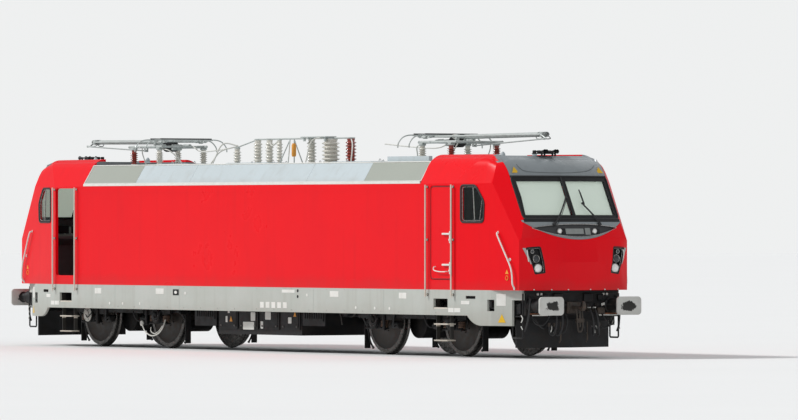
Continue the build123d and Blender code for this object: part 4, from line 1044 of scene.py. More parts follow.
def makeLamps():
    # In each housing a clear upper lamp, a lit lower one and a marker; above them a small lamp with its box
    settings = lampSettings
    base, rims, bright, seals, clear, box = [], [], [], [], [], []
    for side in (-1, 1):
        corners = np.array(settings["corners"]) * (side, 1)
        centre = corners.mean(axis=0)
        base.append(frontSlab((centre + 0.985 * (corners - centre))[::-1], -0.105, -0.085, 10, 8))
        base.append(frontLoop(corners, 0.03, -0.045,
                              [(-0.002, -0.048), (0.008, -0.048), (0.008, 0.048), (-0.002, 0.048)], 80))
        seals.append(frontLoop(corners, 0.03, -0.004, roundedOutline(0.014, 0.016, 0.005, 3), 80))
        rims.append(frontLoop(centre + 0.93 * (corners - centre), 0.03, -0.03,
                              roundedOutline(0.01, 0.01, 0.003, 3), 80))
        for name, target, rise, out in (("upper", clear, 0.02, -0.035), ("lower", bright, 0.024, -0.034),
                                        ("marker", clear, 0.012, -0.044), ("small", bright, 0.018, -0.012)):
            y, z, radius = settings[name]
            target.append(lampDome(side * y, z, radius, rise, out))
            if name in ("upper", "lower"):
                rims.append(lampRim(side * y, z, radius, -0.035, 0.05, 0.012, 0.006, 40))
            if name == "marker":
                rows = [(0.03, -0.03), (0.038, -0.03), (0.038, 0.004), (0.03, 0.004), (0.03, -0.03)]
                rims.append(lathe(rows, frontPoints(side * y, z, -0.045), (1, 0, 0), segments=24))
        y, z, radius = settings["small"]
        rims.append(lampRim(side * y, z, radius, -0.014, 0.022, 0.014, 0.004, 32))
        box.append(frontPanel(side * y + 0.058, side * y + 0.125, z - 0.05, z + 0.045, -0.037, -0.012, 3, 3))
    addPiece("lamp_housings", twoEnds(base), deepBlack, replaces=["front_lamps"])
    addPiece("lamp_upper_lenses", twoEnds(clear), "lamp_glass", replaces=["front_lamps"])
    for pieces, name, material in ((rims, "lamp_rims", brightSteel), (bright, "lamp_lenses", lampWhite),
                                   (seals, "lamp_seals", rubber), (box, "lamp_boxes", deepBlack)):
        addPiece(name, twoEnds(pieces), material)


trimSettings = {
    "rail": [(8.39, 1.3, 2.33), (8.41, 1.35, 2.3), (8.52, 1.34, 2.12), (8.67, 1.315, 1.87),
             (8.775, 1.3, 1.69), (8.815, 1.294, 1.54), (8.825, 1.29, 1.38), (8.82, 1.236, 1.29)],
    "railFeet": [(8.39, 1.3, 2.33), (8.7, 1.262, 1.83), (8.82, 1.236, 1.295)],
    "handle": [(8.955, 1.085, 2.015), (9.005, 1.088, 1.995), (9.02, 1.083, 1.9), (9.016, 1.06, 1.8),
               (8.965, 1.05, 1.775)],
    # The horns' y and length
    "horns": [(-0.21, 0.32), (-0.11, 0.24), (0.03, 0.32), (0.13, 0.24)],
    # The lens recess reaches this far to each side
    "recess": 0.96,
}


def makeFrontTrim():
    # Handrails round the nose corners, C handles, blank warning triangles, horns and the lips of the recess
    settings = trimSettings
    rails = [hose(settings["rail"], 0.0155, 12), hose(settings["handle"], 0.013, 10, 7)]
    rails += [lathe([(0, -0.02), (0.028, -0.02), (0.03, -0.012), (0.03, 0.004), (0, 0.008)], foot,
                    (0.4, 1, 0), segments=16) for foot in settings["railFeet"]]
    marks, horns = [], []
    for y in both([0.955]):
        spot = frontPoints(y, 3.478) + (0.002, 0, 0.001)
        marks.append(plate([(-0.075, -0.055), (0.075, -0.055), (0.0, 0.075)], spot,
                           (0, 1, 0), (-0.55, 0, 1), 0.003))
    for y, length in settings["horns"]:
        bell = [(0, 0), (0.013, 0), (0.013, length * 0.4), (0.018, length * 0.65), (0.028, length * 0.88),
                (0.041, length), (0.037, length), (0.024, length * 0.88), (0, length * 0.8)]
        horns += [lathe(bell, (8.0, y, 3.83), (1, 0, 0), segments=28),
                  block((7.985, y, 3.824), (0.08, 0.045, 0.06), 0.008),
                  block((8.0 + length * 0.7, y, 3.78), (0.03, 0.03, 0.08), 0.004)]
    horns.append(block((8.03, -0.04, 3.793), (0.16, 0.42, 0.016), 0.005))
    horns += [block((7.55, y, 3.735), (0.16, 0.03, 0.05), 0.006) for y in (-0.85, -0.8, -0.75)]
    # The recess's edges: a level plus a multiple of the square of the share of its half width
    arc = np.linspace(-0.95, 0.95, 40)
    bend = (arc / settings["recess"]) ** 2
    lips = [sweep(frontPoints(arc, level + rise * bend, out), roundedOutline(*outline, 2), up=(1, 0, 0.2))
            for level, rise, out, outline in ((2.482, -0.065, 0.002, (0.01, 0.018, 0.004)),
                                              (2.253, 0.162, 0.001, (0.008, 0.01, 0.003)))]
    panels = [frontPanel(-0.26, 0.14, 2.3, 2.4, -0.037, -0.02, 4, 8),
              frontPanel(0.18, 0.3, 2.285, 2.41, -0.037, -0.024, 4, 4)]
    addPiece("nose_handrails", fourWays(rails), labelWhite, slot="rail_white")
    addPiece("front_triangles", twoEnds(marks), signYellow)
    addPiece("roof_horns", twoEnds(horns), "black_steel")
    addPiece("recess_lips", twoEnds(lips), brightSteel)
    addPiece("recess_boxes", twoEnds(panels), boxGrey)


gearSettings = {
    "hook": [(8.93, 0, 0.94), (9.12, 0, 0.935), (9.2, 0, 0.91), (9.26, 0, 0.92), (9.285, 0, 0.975),
             (9.27, 0, 1.03), (9.235, 0, 1.05)],
    "shackles": [[(9.1, 0.055, 0.92), (9.14, 0.062, 0.83), (9.15, 0.06, 0.72)],
                 [(9.15, 0.06, 0.68), (9.16, 0.055, 0.58), (9.15, 0.03, 0.505), (9.15, 0, 0.495)]],
    # The brake hoses' y and how far they reach forward
    "hoses": [(0.34, 0.15), (0.46, 0.13)], "socket": (8.93, 0.62, 0.865),
}


def makeBufferGear():
    # Draw hook, screw coupling, brake hoses, cables and their sockets under each nose
    settings = gearSettings
    steel, hoses, whites = [], [], []
    hook = smoothPath(settings["hook"], 7)
    taperRow = np.interp(np.arange(len(hook)), [0, len(hook) * 0.6, len(hook) - 1], [1.25, 1.0, 0.55])
    outline = roundedOutline(0.055, 0.085, 0.02, 4)
    points, faces = sweep(hook, outline, up=(0, 1, 0))
    centres = np.repeat(hook, len(outline), axis=0)
    middle = [(centres + (points - centres) * np.repeat(taperRow, len(outline))[:, None], faces),
              block((8.945, 0, 0.94), (0.05, 0.3, 0.22), 0.015)]
    steel += [rod((8.96, 0.1, z), (8.985, 0.1, z), 0.018, 6) for z in (0.87, 1.01)]
    chain = [hose(run, 0.016) for run in settings["shackles"]]
    links = [rod((9.1, -0.075, 0.92), (9.1, 0.075, 0.92), 0.02),
             rod((9.15, 0.0, 0.58), (9.15, 0.0, 0.84), 0.02)]
    links += [rod((9.15, -0.085, z), (9.15, 0.085, z), 0.024) for z in (0.72, 0.685)]
    for y, reach in settings["hoses"]:
        start = np.array([8.93, y, 0.9])
        steps = [(0, 0, 0), (0.07, 0, -0.02), (reach, 0, -0.16), (reach, 0.02, -0.34), (0.1, 0.05, -0.46),
                 (0.04, 0.09, -0.43), (0.03, 0.1, -0.3)]
        path = smoothPath(start + steps, 8)
        hoses.append(tube(path, 0.021, 12))
        steel += [rod(start + (-0.03, 0, 0.0), start + (0.04, 0, -0.01), 0.03),
                  rod(path[-1] + (0, 0, -0.01), path[-1] + (0, 0, 0.06), 0.027)]
        whites.append(block(start + (0.03, 0, 0.04), (0.09, 0.018, 0.022), 0.005))
    socket = np.array(settings["socket"])
    steel += [block(socket, (0.1, 0.16, 0.15), 0.02),
              tube([(8.92, 0.3, 0.3), (8.96, 0.3, 0.34), (8.96, 0.3, 0.68)], 0.014, 8)]
    hoses.append(hose(socket + [(0.05, 0, -0.04), (0.11, 0, -0.1), (0.1, 0.12, -0.24), (0.06, 0.26, -0.22),
                                (0.0, 0.3, -0.1)], 0.013))
    whites.append(rod((8.98, 0.55, 0.8), (8.98, 0.95, 0.8), 0.01))
    whites += [block((8.91, y, 1.19), (0.03, 0.04, 0.045), 0.008) for y in (0.7, 0.78)]
    addPiece("draw_hooks", twoEnds(middle) + fourWays(steel), "coupling_steel", replaces=["coupling_gear"])
    addPiece("screw_couplings", twoEnds(links) + fourWays(chain), "coupling_steel")
    addPiece("brake_hoses", fourWays(hoses), rubber)
    addPiece("hose_handles", fourWays(whites), labelWhite)


makeWindscreens()
makeWipers()
makeLamps()
makeFrontTrim()
makeBufferGear()
print("fronts made")


doorSettings = {
    "hingeX": 6.43, "width": 0.715, "low": 1.45, "high": 3.19, "axis": (6.442, 1.4385),
    "handleX": 6.99, "handleZ": (2.3, 1.725), "latchX": 7.105,
    # The grab bar's x, stand-off from the side, and z
    "bar": [(6.6, 0, 1.69), (6.6, 0.045, 1.68), (6.62, 0.055, 1.625), (6.76, 0.055, 1.6),
            (6.96, 0.055, 1.595), (6.985, 0.04, 1.6), (6.99, 0, 1.6)],
}


def swungOpen(part):
    # Door 1a stands open: a quarter turn about its hinge, into the cab
    x, y = doorSettings["axis"]
    return turned(part, (-x, -y, 0), (0, 0, 1), -90)


def makeDoorFittings():
    # Pale lever handles with their plates, a low grab bar and the rubber round each leaf
    settings = doorSettings
    latchX = settings["latchX"]
    fittings = [hose(np.array(settings["bar"]) + (0, halfWidth, 0), 0.01, 10, 7)]
    for z in settings["handleZ"]:
        fittings += [block((settings["handleX"], halfWidth + 0.03, z), (0.264, 0.03, 0.036), 0.01),
                     block((latchX, halfWidth + 0.016, z - 0.06), (0.042, 0.034, 0.226), 0.01),
                     lathe([(0, 0), (0.022, 0), (0.024, 0.004), (0.02, 0.014), (0, 0.016)],
                           (latchX, halfWidth + 0.03, z - 0.11), (0, 1, 0), segments=20)]
    left, right = settings["hingeX"] + 0.012, settings["hingeX"] + settings["width"] - 0.012
    low, high = settings["low"] + 0.012, settings["high"] - 0.012
    flat = resample(roundedLoop([(left, low), (right, low), (right, high), (left, high)], 0.075), 140)
    loop = np.insert(flat, 1, halfWidth + 0.001, axis=1)
    gaskets = [closedSweep(loop, roundedOutline(0.012, 0.01, 0.003, 2), (0, 1, 0))]
    for door, ways in (("2b", ()), ("2a", (mirrorY,)), ("1b", (mirrorX,)),
                       ("1a", (mirrorX, mirrorY, swungOpen))):
        for name, group, finish, slot in (("door_handles_", fittings, labelWhite, "rail_white"),
                                          ("door_gaskets_", gaskets, rubber, "wiper_black")):
            for way in ways:
                group = [way(part) for part in group]
            addPiece(name + door, group, finish, "door_" + door, slot)


windowSettings = {"corners": [(7.4, 2.525), (7.99, 2.525), (8.01, 2.9), (7.79, 3.195), (7.4, 3.195)],
                  "radius": 0.075}


def makeSideWindows():
    # Rubber section round each side window, a slim bright frame inside it and the bar of the sliding pane
    corners = np.array(windowSettings["corners"])
    centre = corners.mean(axis=0)
    rings = []
    for scale, stand, profile in ((1.02, 0.006, roundedOutline(0.036, 0.022, 0.009, 3)),
                                  (0.93, -0.006, roundedOutline(0.01, 0.012, 0.003, 2))):
        flat = resample(roundedLoop(centre + (corners - centre) * scale, windowSettings["radius"]), 120)
        loop = np.insert(flat, 1, sideY(flat[:, 0]) + stand, axis=1)
        rings.append(closedSweep(loop, profile, (0.15, 1, 0)))
    barX = np.array([7.74, 7.7])
    frames = [rings[1],
              sweep(np.stack([barX, sideY(barX) - 0.018, [2.56, 3.16]], axis=1),
                    roundedOutline(0.016, 0.02, 0.004, 2)),
              tube([(7.86, sideY(7.86) - 0.03, 2.57), (7.93, sideY(7.93) - 0.03, 2.98)], 0.008, 8)]
    addPiece("window_rubbers", fourWays(rings[:1]), rubber, slot="wiper_black")
    addPiece("window_frames", fourWays(frames), brightSteel)


sideSettings = {
    # The skirt's line seen from above: x and half width, which turn in more sharply than the walls
    "skirtX": [0, 7.2, 8.2, 8.61, 8.86], "skirtHalf": [1.4885, 1.4885, 1.3345, 1.165, 1.088],
    # Blank plates on the skirts as x and z from and to, and round ones as x and z
    "plates": [(8.31, 8.5, 0.975, 1.195), (5.37, 5.62, 1.085, 1.195), (3.0, 3.3, 1.095, 1.205),
               (7.4, 7.62, 0.995, 1.06), (7.02, 7.38, 0.845, 0.925)],
    "discs": [(5.05, 0.895), (4.55, 0.895), (3.9, 0.9), (2.2, 1.12)],
    # The pale edge of the roof: its end, and its lower and upper run as half width and height
    "edgeX": 6.07, "edgeLow": (1.463, 3.288), "edgeHigh": (1.233, 3.653),
    # The mark on the nose: x, z, radius of its ring
    "mark": (8.62, 1.6, 0.04),
}


def skirtY(x):
    return np.interp(x, sideSettings["skirtX"], sideSettings["skirtHalf"])


def skirtPlate(x0, x1, z0, z1):
    x, z = np.meshgrid(np.linspace(x0, x1, 4), np.linspace(z0, z1, 3), indexing="ij")
    return slab(np.stack([x, skirtY(x) + 0.004, z], -1), np.stack([x, skirtY(x) - 0.002, z], -1))


def makeSideTrim():
    # Rail sockets, blank plates on the skirts, warning marks, pocket covers and the pale edge of the roof
    settings = sideSettings
    outward, along, down = (0, 1, 0), (1, 0, 0), (0, 0, -1)
    sockets = [lathe([(0, 0), (0.026, 0), (0.028, 0.003), (0.018, 0.01), (0.014, 0.05), (0, 0.052)],
                     (x, halfWidth, z), outward, segments=18) for x in (6.33, 7.185)
               for z in (1.17, 2.19, 3.175)]
    plates = [skirtPlate(*row) for row in settings["plates"]]
    plates += [plate(circle(0.028), (x, skirtY(x) + 0.001, z), along, down, 0.004)
               for x, z in settings["discs"]]
    yellow = plate([(-0.085, 0.07), (0.085, 0.07), (0, -0.085)], (8.42, skirtY(8.42) + 0.002, 0.735),
                   (1, -0.4, 0), down, 0.003)
    x, z, radius = settings["mark"]
    orange = [plate([(-0.045, 0.035), (0.045, 0.035), (0, -0.045)], (x, sideY(x) + 0.001, z), (1, -taper, 0),
                    down, 0.003),
              closedSweep(ringPath((x, sideY(x) + 0.003, z - 0.11), 0, 2, radius, 24), circle(0.006, 6),
                          (0.15, 1, 0))]
    grilles = [block((x, skirtY(x) - 0.012, 1.125), (0.007, 0.03, 0.062), 0.002)
               for x in 7.545 + np.arange(9) * 0.026]
    grilles += [block((8.18, skirtY(8.18) - 0.05, z), (0.19, 0.03, 0.02), 0.004) for z in (0.93, 1.07)]
    grilles.append(block((8.15, skirtY(8.15) - 0.075, 1.0), (0.06, 0.1, 0.13), 0.01))
    bolts = [block((x, halfWidth, 1.02), (0.008, 0.006, 0.44), 0.002) for x in (2.42, 4.85)]
    for x in np.arange(0.4, taperStart, 0.62):
        bolts += [lathe(rows, (x, halfWidth, z), outward, segments=8) for rows, z in (
            ([(0, 0), (0.011, 0), (0.011, 0.005), (0.007, 0.009), (0, 0.009)], 0.835),
            ([(0, 0), (0.009, 0), (0.009, 0.004), (0, 0.006)], 1.235))]
    end, low, high = settings["edgeX"], settings["edgeLow"], settings["edgeHigh"]
    edging = [sweep([(x0, *first), (x1, *second)], roundedOutline(wide, wide, 0.006, 2))
              for x0, first, x1, second, wide in (
                  (end + 0.005, low, -end - 0.005, low, 0.022), (end, low, end, high, 0.022),
                  (-end, low, -end, high, 0.022), (end, high, -end, high, 0.02))]
    edging.append(block((0, 1.4895, 3.263), (2 * end, 0.006, 0.046), 0.002))
    addPiece("rail_sockets", fourWays(sockets), "rail_white")
    addPiece("blank_plates", fourWays(plates), labelWhite)
    addPiece("skirt_triangles", fourWays([yellow]), signYellow)
    addPiece("nose_marks", fourWays(orange), orangePaint)
    addPiece("skirt_grilles", fourWays(grilles), "black_steel")
    addPiece("skirt_bolts", fourWays(bolts), "skirt_grey")
    addPiece("roof_edging", twoSides(edging), labelWhite)


roofSettings = {
    # Hatch lids: x, length, y, width
    "lids": [(0.55, 2.6, 0.62, 0.85), (-1.5, 1.2, 0.7, 0.7), (2.9, 1.7, 0.55, 1.0), (-3.3, 0.9, 0.6, 0.95),
             (3.0, 1.5, -0.72, 0.6), (-3.4, 1.2, -0.78, 0.55), (-0.6, 1.6, -0.86, 0.45)],
    # Cables: the points of each run, its radius and the steps of its curve
    "cables": [([(4.72, -0.5, 3.99), (4.45, -0.46, 3.95), (4.3, -0.35, 3.8), (4.22, -0.3, 3.68)], 0.013, 10),
               ([(4.6, 0.2, 4.03), (4.2, 0.16, 3.93), (3.4, 0.1, 3.96), (2.63, 0.02, 4.02)], 0.012, 12)],
    "aerial": [(0, 3.71), (0.085, 3.71), (0.085, 3.722), (0.05, 3.735), (0.045, 3.79), (0.02, 3.83),
               (0, 3.835)],
    "aerialSpots": [(6.9, 0.55), (7.3, -0.45)], "gratingBars": 14,
}


def makeRoofDetail():
    # Hatch lids with lifting eyes and bolts, cable runs, gratings beside the pantographs and small aerials
    settings = roofSettings
    lids, eyes = [], []
    for x, length, y, width in settings["lids"]:
        outline = roundedOutline(length, width, 0.06, 5)
        lids += [plate(outline * share, (x, y, z), (1, 0, 0), (0, 1, 0), thick)
                 for share, z, thick in ((1, 3.651, 0.022), (0.94, 3.673, 0.006))]
        for dx in np.linspace(-length / 2 + 0.1, length / 2 - 0.1, max(2, int(length / 0.3))):
            eyes += [lathe([(0, 0), (0.011, 0), (0.011, 0.006), (0, 0.009)],
                           (x + dx, y + dy, 3.673), segments=6) for dy in both([width / 2 - 0.035])]
        turn = np.linspace(0, math.pi, 10)
        eyes += [tube(np.stack([x + dx + 0.035 * np.cos(turn), np.full(10, y),
                                3.674 + 0.05 * np.sin(turn)], 1), 0.007, 8)
                 for dx in both([length / 2 - 0.18])]
    ducts = [block((4.35, y, 3.665), (2.3, 0.1, 0.03), 0.006) for y in (-0.3, 0.3)]
    ducts += [block((5.6 - index * 0.075, 0.88, 3.675), (0.05, 0.34, 0.02), 0.003)
              for index in range(settings["gratingBars"])]
    cables = [hose(*row[:2], steps=row[2]) for row in settings["cables"]]
    for y in (-0.35, 0.4):
        cables.append(hose([(5.66, y, 4.0), (5.6, y * 1.08, 3.9), (5.52, y * 1.1, 3.78), (5.5, y, 3.67)],
                           0.011, steps=10))
    aerials = [lathe(settings["aerial"], (x, y, 0), segments=28) for x, y in settings["aerialSpots"]]
    addPiece("roof_lids", lids, "roof_grey")
    addPiece("lifting_eyes", eyes, brightSteel)
    addPiece("roof_ducts", twoEnds(ducts), "arm_grey")
    addPiece("high_voltage_cables", twoEnds(cables), whiteHose)
    addPiece("aerials", twoEnds(aerials), "roof_grey")


driveSettings = {
    # The bellows' axis height, length, mean radius, depth of a fold and number of folds
    "axisZ": 4.035, "length": 0.3, "radius": 0.085, "fold": 0.018, "folds": 6,
    # The wound cover at the knee: how many turns, their pitch, and where the first one is
    "turns": 10, "pitch": 0.026, "kneeX": 7.86,
}


def makePantographDetail():
    # Shunts over the joints, the lifting bellows, the drive levers and the dampers of each pantograph
    settings = driveSettings
    axisZ = settings["axisZ"]
    shunts = [hose([(5.34, y, 4.07), (5.27, y * 1.3, 4.13), (5.33, y * 1.35, 4.17), (5.45, y, 4.165)],
                   0.009, 8) for y in (-0.16, 0.16)]
    knee = [hose([(7.8, y, 4.115), (7.92, y * 1.8, 4.07), (8.06, y * 1.8, 4.075), (8.05, y, 4.13)], 0.009, 8)
            for y in (-0.055, 0.055)]
    knee += [closedSweep(ringPath((settings["kneeX"] + index * settings["pitch"], -0.005, 4.15), 1, 2,
                                  0.052, 18, 0.042), circle(0.008, 6), (1, 0, 0))
             for index in range(settings["turns"])]
    # The radius swings about its mean as a cosine, one turn to each fold
    share = np.linspace(0, 1, 49)
    radius = settings["radius"] + settings["fold"] * np.cos(share * 2 * math.pi * settings["folds"])
    length = settings["length"]
    folds = np.stack([radius, share * length], axis=1).tolist()
    bellows = [lathe([(0, 0.0)] + folds + [(0, length)], (4.98, 0, axisZ), (1, 0, 0), segments=28)]
    bellows += [lathe([(0, 0), (0.095, 0), (0.098, 0.004), (0.098, 0.014), (0, 0.018)],
                      (x, 0, axisZ), (1, 0, 0), segments=28) for x in (4.965, 5.28)]
    drive = [block((4.9, 0, 4.02), (0.07, 0.22, 0.12), 0.012), rod((5.3, 0, axisZ), (5.4, 0, 4.085), 0.014)]
    drive += [lathe([(0, 0), (0.026, 0), (0.028, 0.006), (0.028, 0.24), (0.018, 0.25), (0.012, 0.26),
                     (0.012, 0.42), (0, 0.42)], (4.86, y, 4.055), (1, 0, 0.04), segments=20)
              for y in (-0.3, 0.3)]
    drive += [block((x, y, 4.008), (0.12, 0.1, 0.018), 0.005) for x in (4.72, 5.69) for y in (-0.52, 0.52)]
    drive += [lathe([(0, -0.02), (0.046, -0.02), (0.05, -0.015), (0.05, 0.015), (0.046, 0.02), (0, 0.02)],
                    (5.4, y, 4.13), (0, 1, 0), segments=28) for y in (-0.2, 0.2)]
    for bogie, end in ends.items():
        for group, name, finish, body in ((shunts, "base_shunts_", whiteHose, "carbody"),
                                          (bellows, "lift_bellows_", rubber, "carbody"),
                                          (drive, "lift_levers_", "arm_grey", "carbody"),
                                          (knee, "knee_shunts_", boxGrey, "lower_arm_" + bogie)):
            addPiece(name + bogie, group if end > 0 else [mirrorX(part) for part in group], finish, body)


makeDoorFittings()
makeSideWindows()
makeSideTrim()
print("sides made")
makeRoofDetail()
makePantographDetail()
print("roof detail made")


bufferSettings = {
    "y": 0.875, "z": 0.975, "face": 9.5, "width": 0.55, "height": 0.34, "corner": 0.07, "flange": 8.9,
    # The casing's radius and distance from the flange's back
    "casing": [(0, 0), (0.155, 0), (0.16, 0.006), (0.16, 0.034), (0.15, 0.04), (0.136, 0.046), (0.13, 0.07),
               (0.128, 0.29), (0.13, 0.3), (0.13, 0.326), (0.124, 0.332), (0.096, 0.335), (0.095, 0.37),
               (0.088, 0.376), (0.086, 0.52), (0.095, 0.55), (0.12, 0.566), (0, 0.566)],
    # The head plate's edge: distance behind the face, and how far the outline is drawn in
    "headEdge": [(0.04, 0.01), (0.034, 0.0), (0.01, 0.0), (0.003, 0.003), (0.0, 0.01)],
    # The grease patch: its inner and outer edge, how uneven it is, and how much lower than broad
    "patch": (0.268, 0.292), "uneven": 0.26, "squash": (1.0, 1.0, 1.75),
}


def makeBufferFace(name):
    # Pale worn head plates with a dark grease patch: a noisy ellipse round each plate's middle
    settings = bufferSettings
    material, tree = newMaterial(name)
    place = objectPlace(tree)
    flip = nodeIn(tree, "VectorMath", {0: place}, operation="ABSOLUTE")
    middle = (settings["face"], settings["y"] - 0.02, settings["z"] - 0.01)
    shift = nodeIn(tree, "VectorMath", {0: flip.outputs[0], 1: middle}, operation="SUBTRACT")
    squeeze = nodeIn(tree, "VectorMath", {0: shift.outputs[0], 1: settings["squash"]}, operation="MULTIPLY")
    reach = nodeIn(tree, "VectorMath", {0: squeeze.outputs[0]}, operation="LENGTH")
    noise = nodeIn(tree, "TexNoise", {"Vector": place, "Scale": 11.0, "Detail": 5})
    wobble = nodeIn(tree, "Math", {0: noise.outputs["Fac"], 1: settings["uneven"], 2: reach.outputs["Value"]},
                    operation="MULTIPLY_ADD")
    low, high = settings["patch"]
    edge = nodeIn(tree, "MapRange", {"Value": wobble.outputs[0], "From Min": low, "From Max": high,
                                     "To Min": 1.0, "To Max": 0.0}).outputs["Result"]
    base = mixColour(tree, (speckle(tree, 9.0, 0.4, 0.75), 0.5), (0.55, 0.55, 0.52), (0.4, 0.39, 0.36))
    base = mixColour(tree, edge, base, (0.022, 0.021, 0.019))
    return fillShader(material, {"Base Color": base, "Specular IOR Level": 0.3,
                                 "Roughness": spread(tree, edge, 0.55, 0.35)})


def makeBuffers():
    # Dark flanged casings with a plunger each, and a rounded head plate with softened edges
    settings = bufferSettings
    origin = np.array([settings["flange"], settings["y"], settings["z"]])
    casing = [lathe(settings["casing"], origin, (1, 0, 0), segments=48)]
    casing += boltCircle(origin + (0.03, 0, 0), (1, 0, 0), 0.145, 4, 45, 0.022, 0.017)
    rings = []
    for depth, inset in settings["headEdge"]:
        flat = roundedOutline(settings["width"] - 2 * inset, settings["height"] - 2 * inset,
                              settings["corner"] - inset, 8)
        rings.append(np.insert(flat + origin[1:], 0, settings["face"] - depth, axis=1))
    count = len(rings[0])
    faces = gridFaces(len(rings), count, closeColumns=True) + capFaces(len(rings), count)
    head = (np.vstack(rings), faces)
    addPiece("buffer_casings", fourWays(casing), "black_steel", replaces=["buffers"])
    addPiece("buffer_heads", fourWays([head]), makeBufferFace("bufferFace"), slot="buffer_grey",
             replaces=["buffers"])


undersideSettings = {
    # Blocks on the middle line, then blocks beside it: centre, size, chamfer
    "middle": [((8.72, 0, 0.755), (0.05, 2.0, 0.13), 0.008), ((8.8, 0, 1.235), (0.24, 2.1, 0.05), 0.01)],
    "beside": [((8.7, 1.06, 0.92), (0.18, 0.05, 0.2), 0.015), ((8.925, 0.34, 1.12), (0.05, 0.2, 0.16), 0.012),
               ((8.93, 0.62, 1.13), (0.06, 0.12, 0.11), 0.012)],
    # The guard frame beside the end of the skirt
    "guard": [(8.56, 1.1, 1.05), (8.56, 1.1, 0.4), (8.58, 1.1, 0.38), (8.84, 1.08, 0.38), (8.86, 1.08, 0.4),
              (8.86, 1.08, 1.2)],
    # Hoses: points and radius
    "hoses": [([(8.9, 0.98, 1.16), (8.97, 1.0, 1.08), (8.98, 1.02, 0.86),
                (8.93, 1.04, 0.62), (8.86, 1.05, 0.5)], 0.02),
              ([(8.9, 0.9, 0.78), (8.97, 0.86, 0.7), (8.98, 0.78, 0.6),
                (8.95, 0.66, 0.56), (8.91, 0.58, 0.64)], 0.015),
              ([(8.92, 0.16, 0.82), (8.99, 0.17, 0.7), (9.0, 0.22, 0.52),
                (8.96, 0.28, 0.47), (8.92, 0.33, 0.56)], 0.014)],
}


def makeNoseUnderside():
    # What hangs behind the buffers: cross member, guard frames, valves, cable runs, lifting eyes and brackets
    settings = undersideSettings
    middle = [block(*row) for row in settings["middle"]]
    middle += [block((8.905, -0.8 + index * 0.2, 1.225), (0.02, 0.03, 0.04), 0.003) for index in range(9)]
    dark = [block(*row) for row in settings["beside"]]
    dark += [tube(settings["guard"], 0.016, 8), rod((8.56, 1.1, 0.78), (8.86, 1.08, 0.78), 0.012)]
    dark += [lathe([(0, 0), (0.032, 0), (0.034, 0.006), (0.034, 0.05), (0.022, 0.06), (0.022, 0.08),
                    (0, 0.08)], (8.9, y, 0.99), (1, 0, 0), segments=18) for y in (0.2, 0.3, 0.52)]
    dark += [block((8.905, 0.12, 1.16 - index * 0.025), (0.012, 0.12, 0.01), 0.002) for index in range(7)]
    pale = [hose([(8.84, 1.105, 0.8), (8.88, 1.1, 0.74), (8.845, 1.105, 0.67)], 0.009, 8, 5),
            rod((8.84, 1.105, 0.6), (8.88, 1.1, 0.54), 0.008)]
    pale += [block((8.925, y, z), (0.03, 0.028, 0.05), 0.006) for y, z in ((0.7, 1.005), (0.66, 0.995))]
    pale += [hose([(8.95, y, 0.6), (8.985, y + 0.02, 0.54), (8.97, y + 0.05, 0.47)], 0.01, 8, 5)
             for y in (0.42, 0.5)]
    pale += [lathe([(0, 0), (0.012, 0), (0.012, 0.014), (0.008, 0.018), (0, 0.018)],
                   frontPoints(y, 1.275, -0.004), (1, 0, 0), segments=12) for y in (0.25, 0.6, 0.95)]
    pipe = rod((8.95, 0.55, 0.828), (8.95, 0.98, 0.828), 0.009)
    addPiece("nose_underside", twoEnds(middle) + fourWays(dark), "black_steel")
    addPiece("nose_fittings", fourWays(pale), labelWhite)
    addPiece("nose_pipes", fourWays([pipe]), copperBrown)
    addPiece("nose_hoses", fourWays([hose(*row) for row in settings["hoses"]]), rubber)


bogieSettings = {
    "centre": 5.22, "axle": 1.3, "axleZ": 0.655, "beamY": 1.01, "boxY": 1.105, "endX": 1.99,
    "springX": 0.245,
    "cover": [(0, 0), (0.14, 0), (0.146, 0.006), (0.146, 0.016), (0.128, 0.024), (0.09, 0.028), (0.086, 0.05),
              (0.074, 0.058), (0, 0.06)],
    "seat": [(0, 0.672), (0.08, 0.672), (0.082, 0.676), (0.082, 0.696), (0, 0.7)],
    "damper": [(0, 0.5), (0.026, 0.5), (0.028, 0.506), (0.028, 0.66), (0.036, 0.665), (0.036, 0.8),
               (0.02, 0.81), (0.02, 0.85), (0, 0.85)],
    "cylinder": [(0, -0.12), (0.07, -0.12), (0.076, -0.112), (0.076, 0.1), (0.06, 0.115), (0, 0.12)],
    # The pale earthing loops under one axle box: points and radius
    "loops": [([(-4.33, -1.17, 0.47), (-4.18, -1.185, 0.33), (-3.93, -1.19, 0.255), (-3.68, -1.185, 0.31),
                (-3.54, -1.17, 0.44), (-3.52, -1.13, 0.58)], 0.013),
              ([(-4.03, -1.15, 0.42), (-3.98, -1.175, 0.34), (-3.84, -1.18, 0.3), (-3.68, -1.175, 0.36),
                (-3.6, -1.15, 0.46)], 0.009)],
}


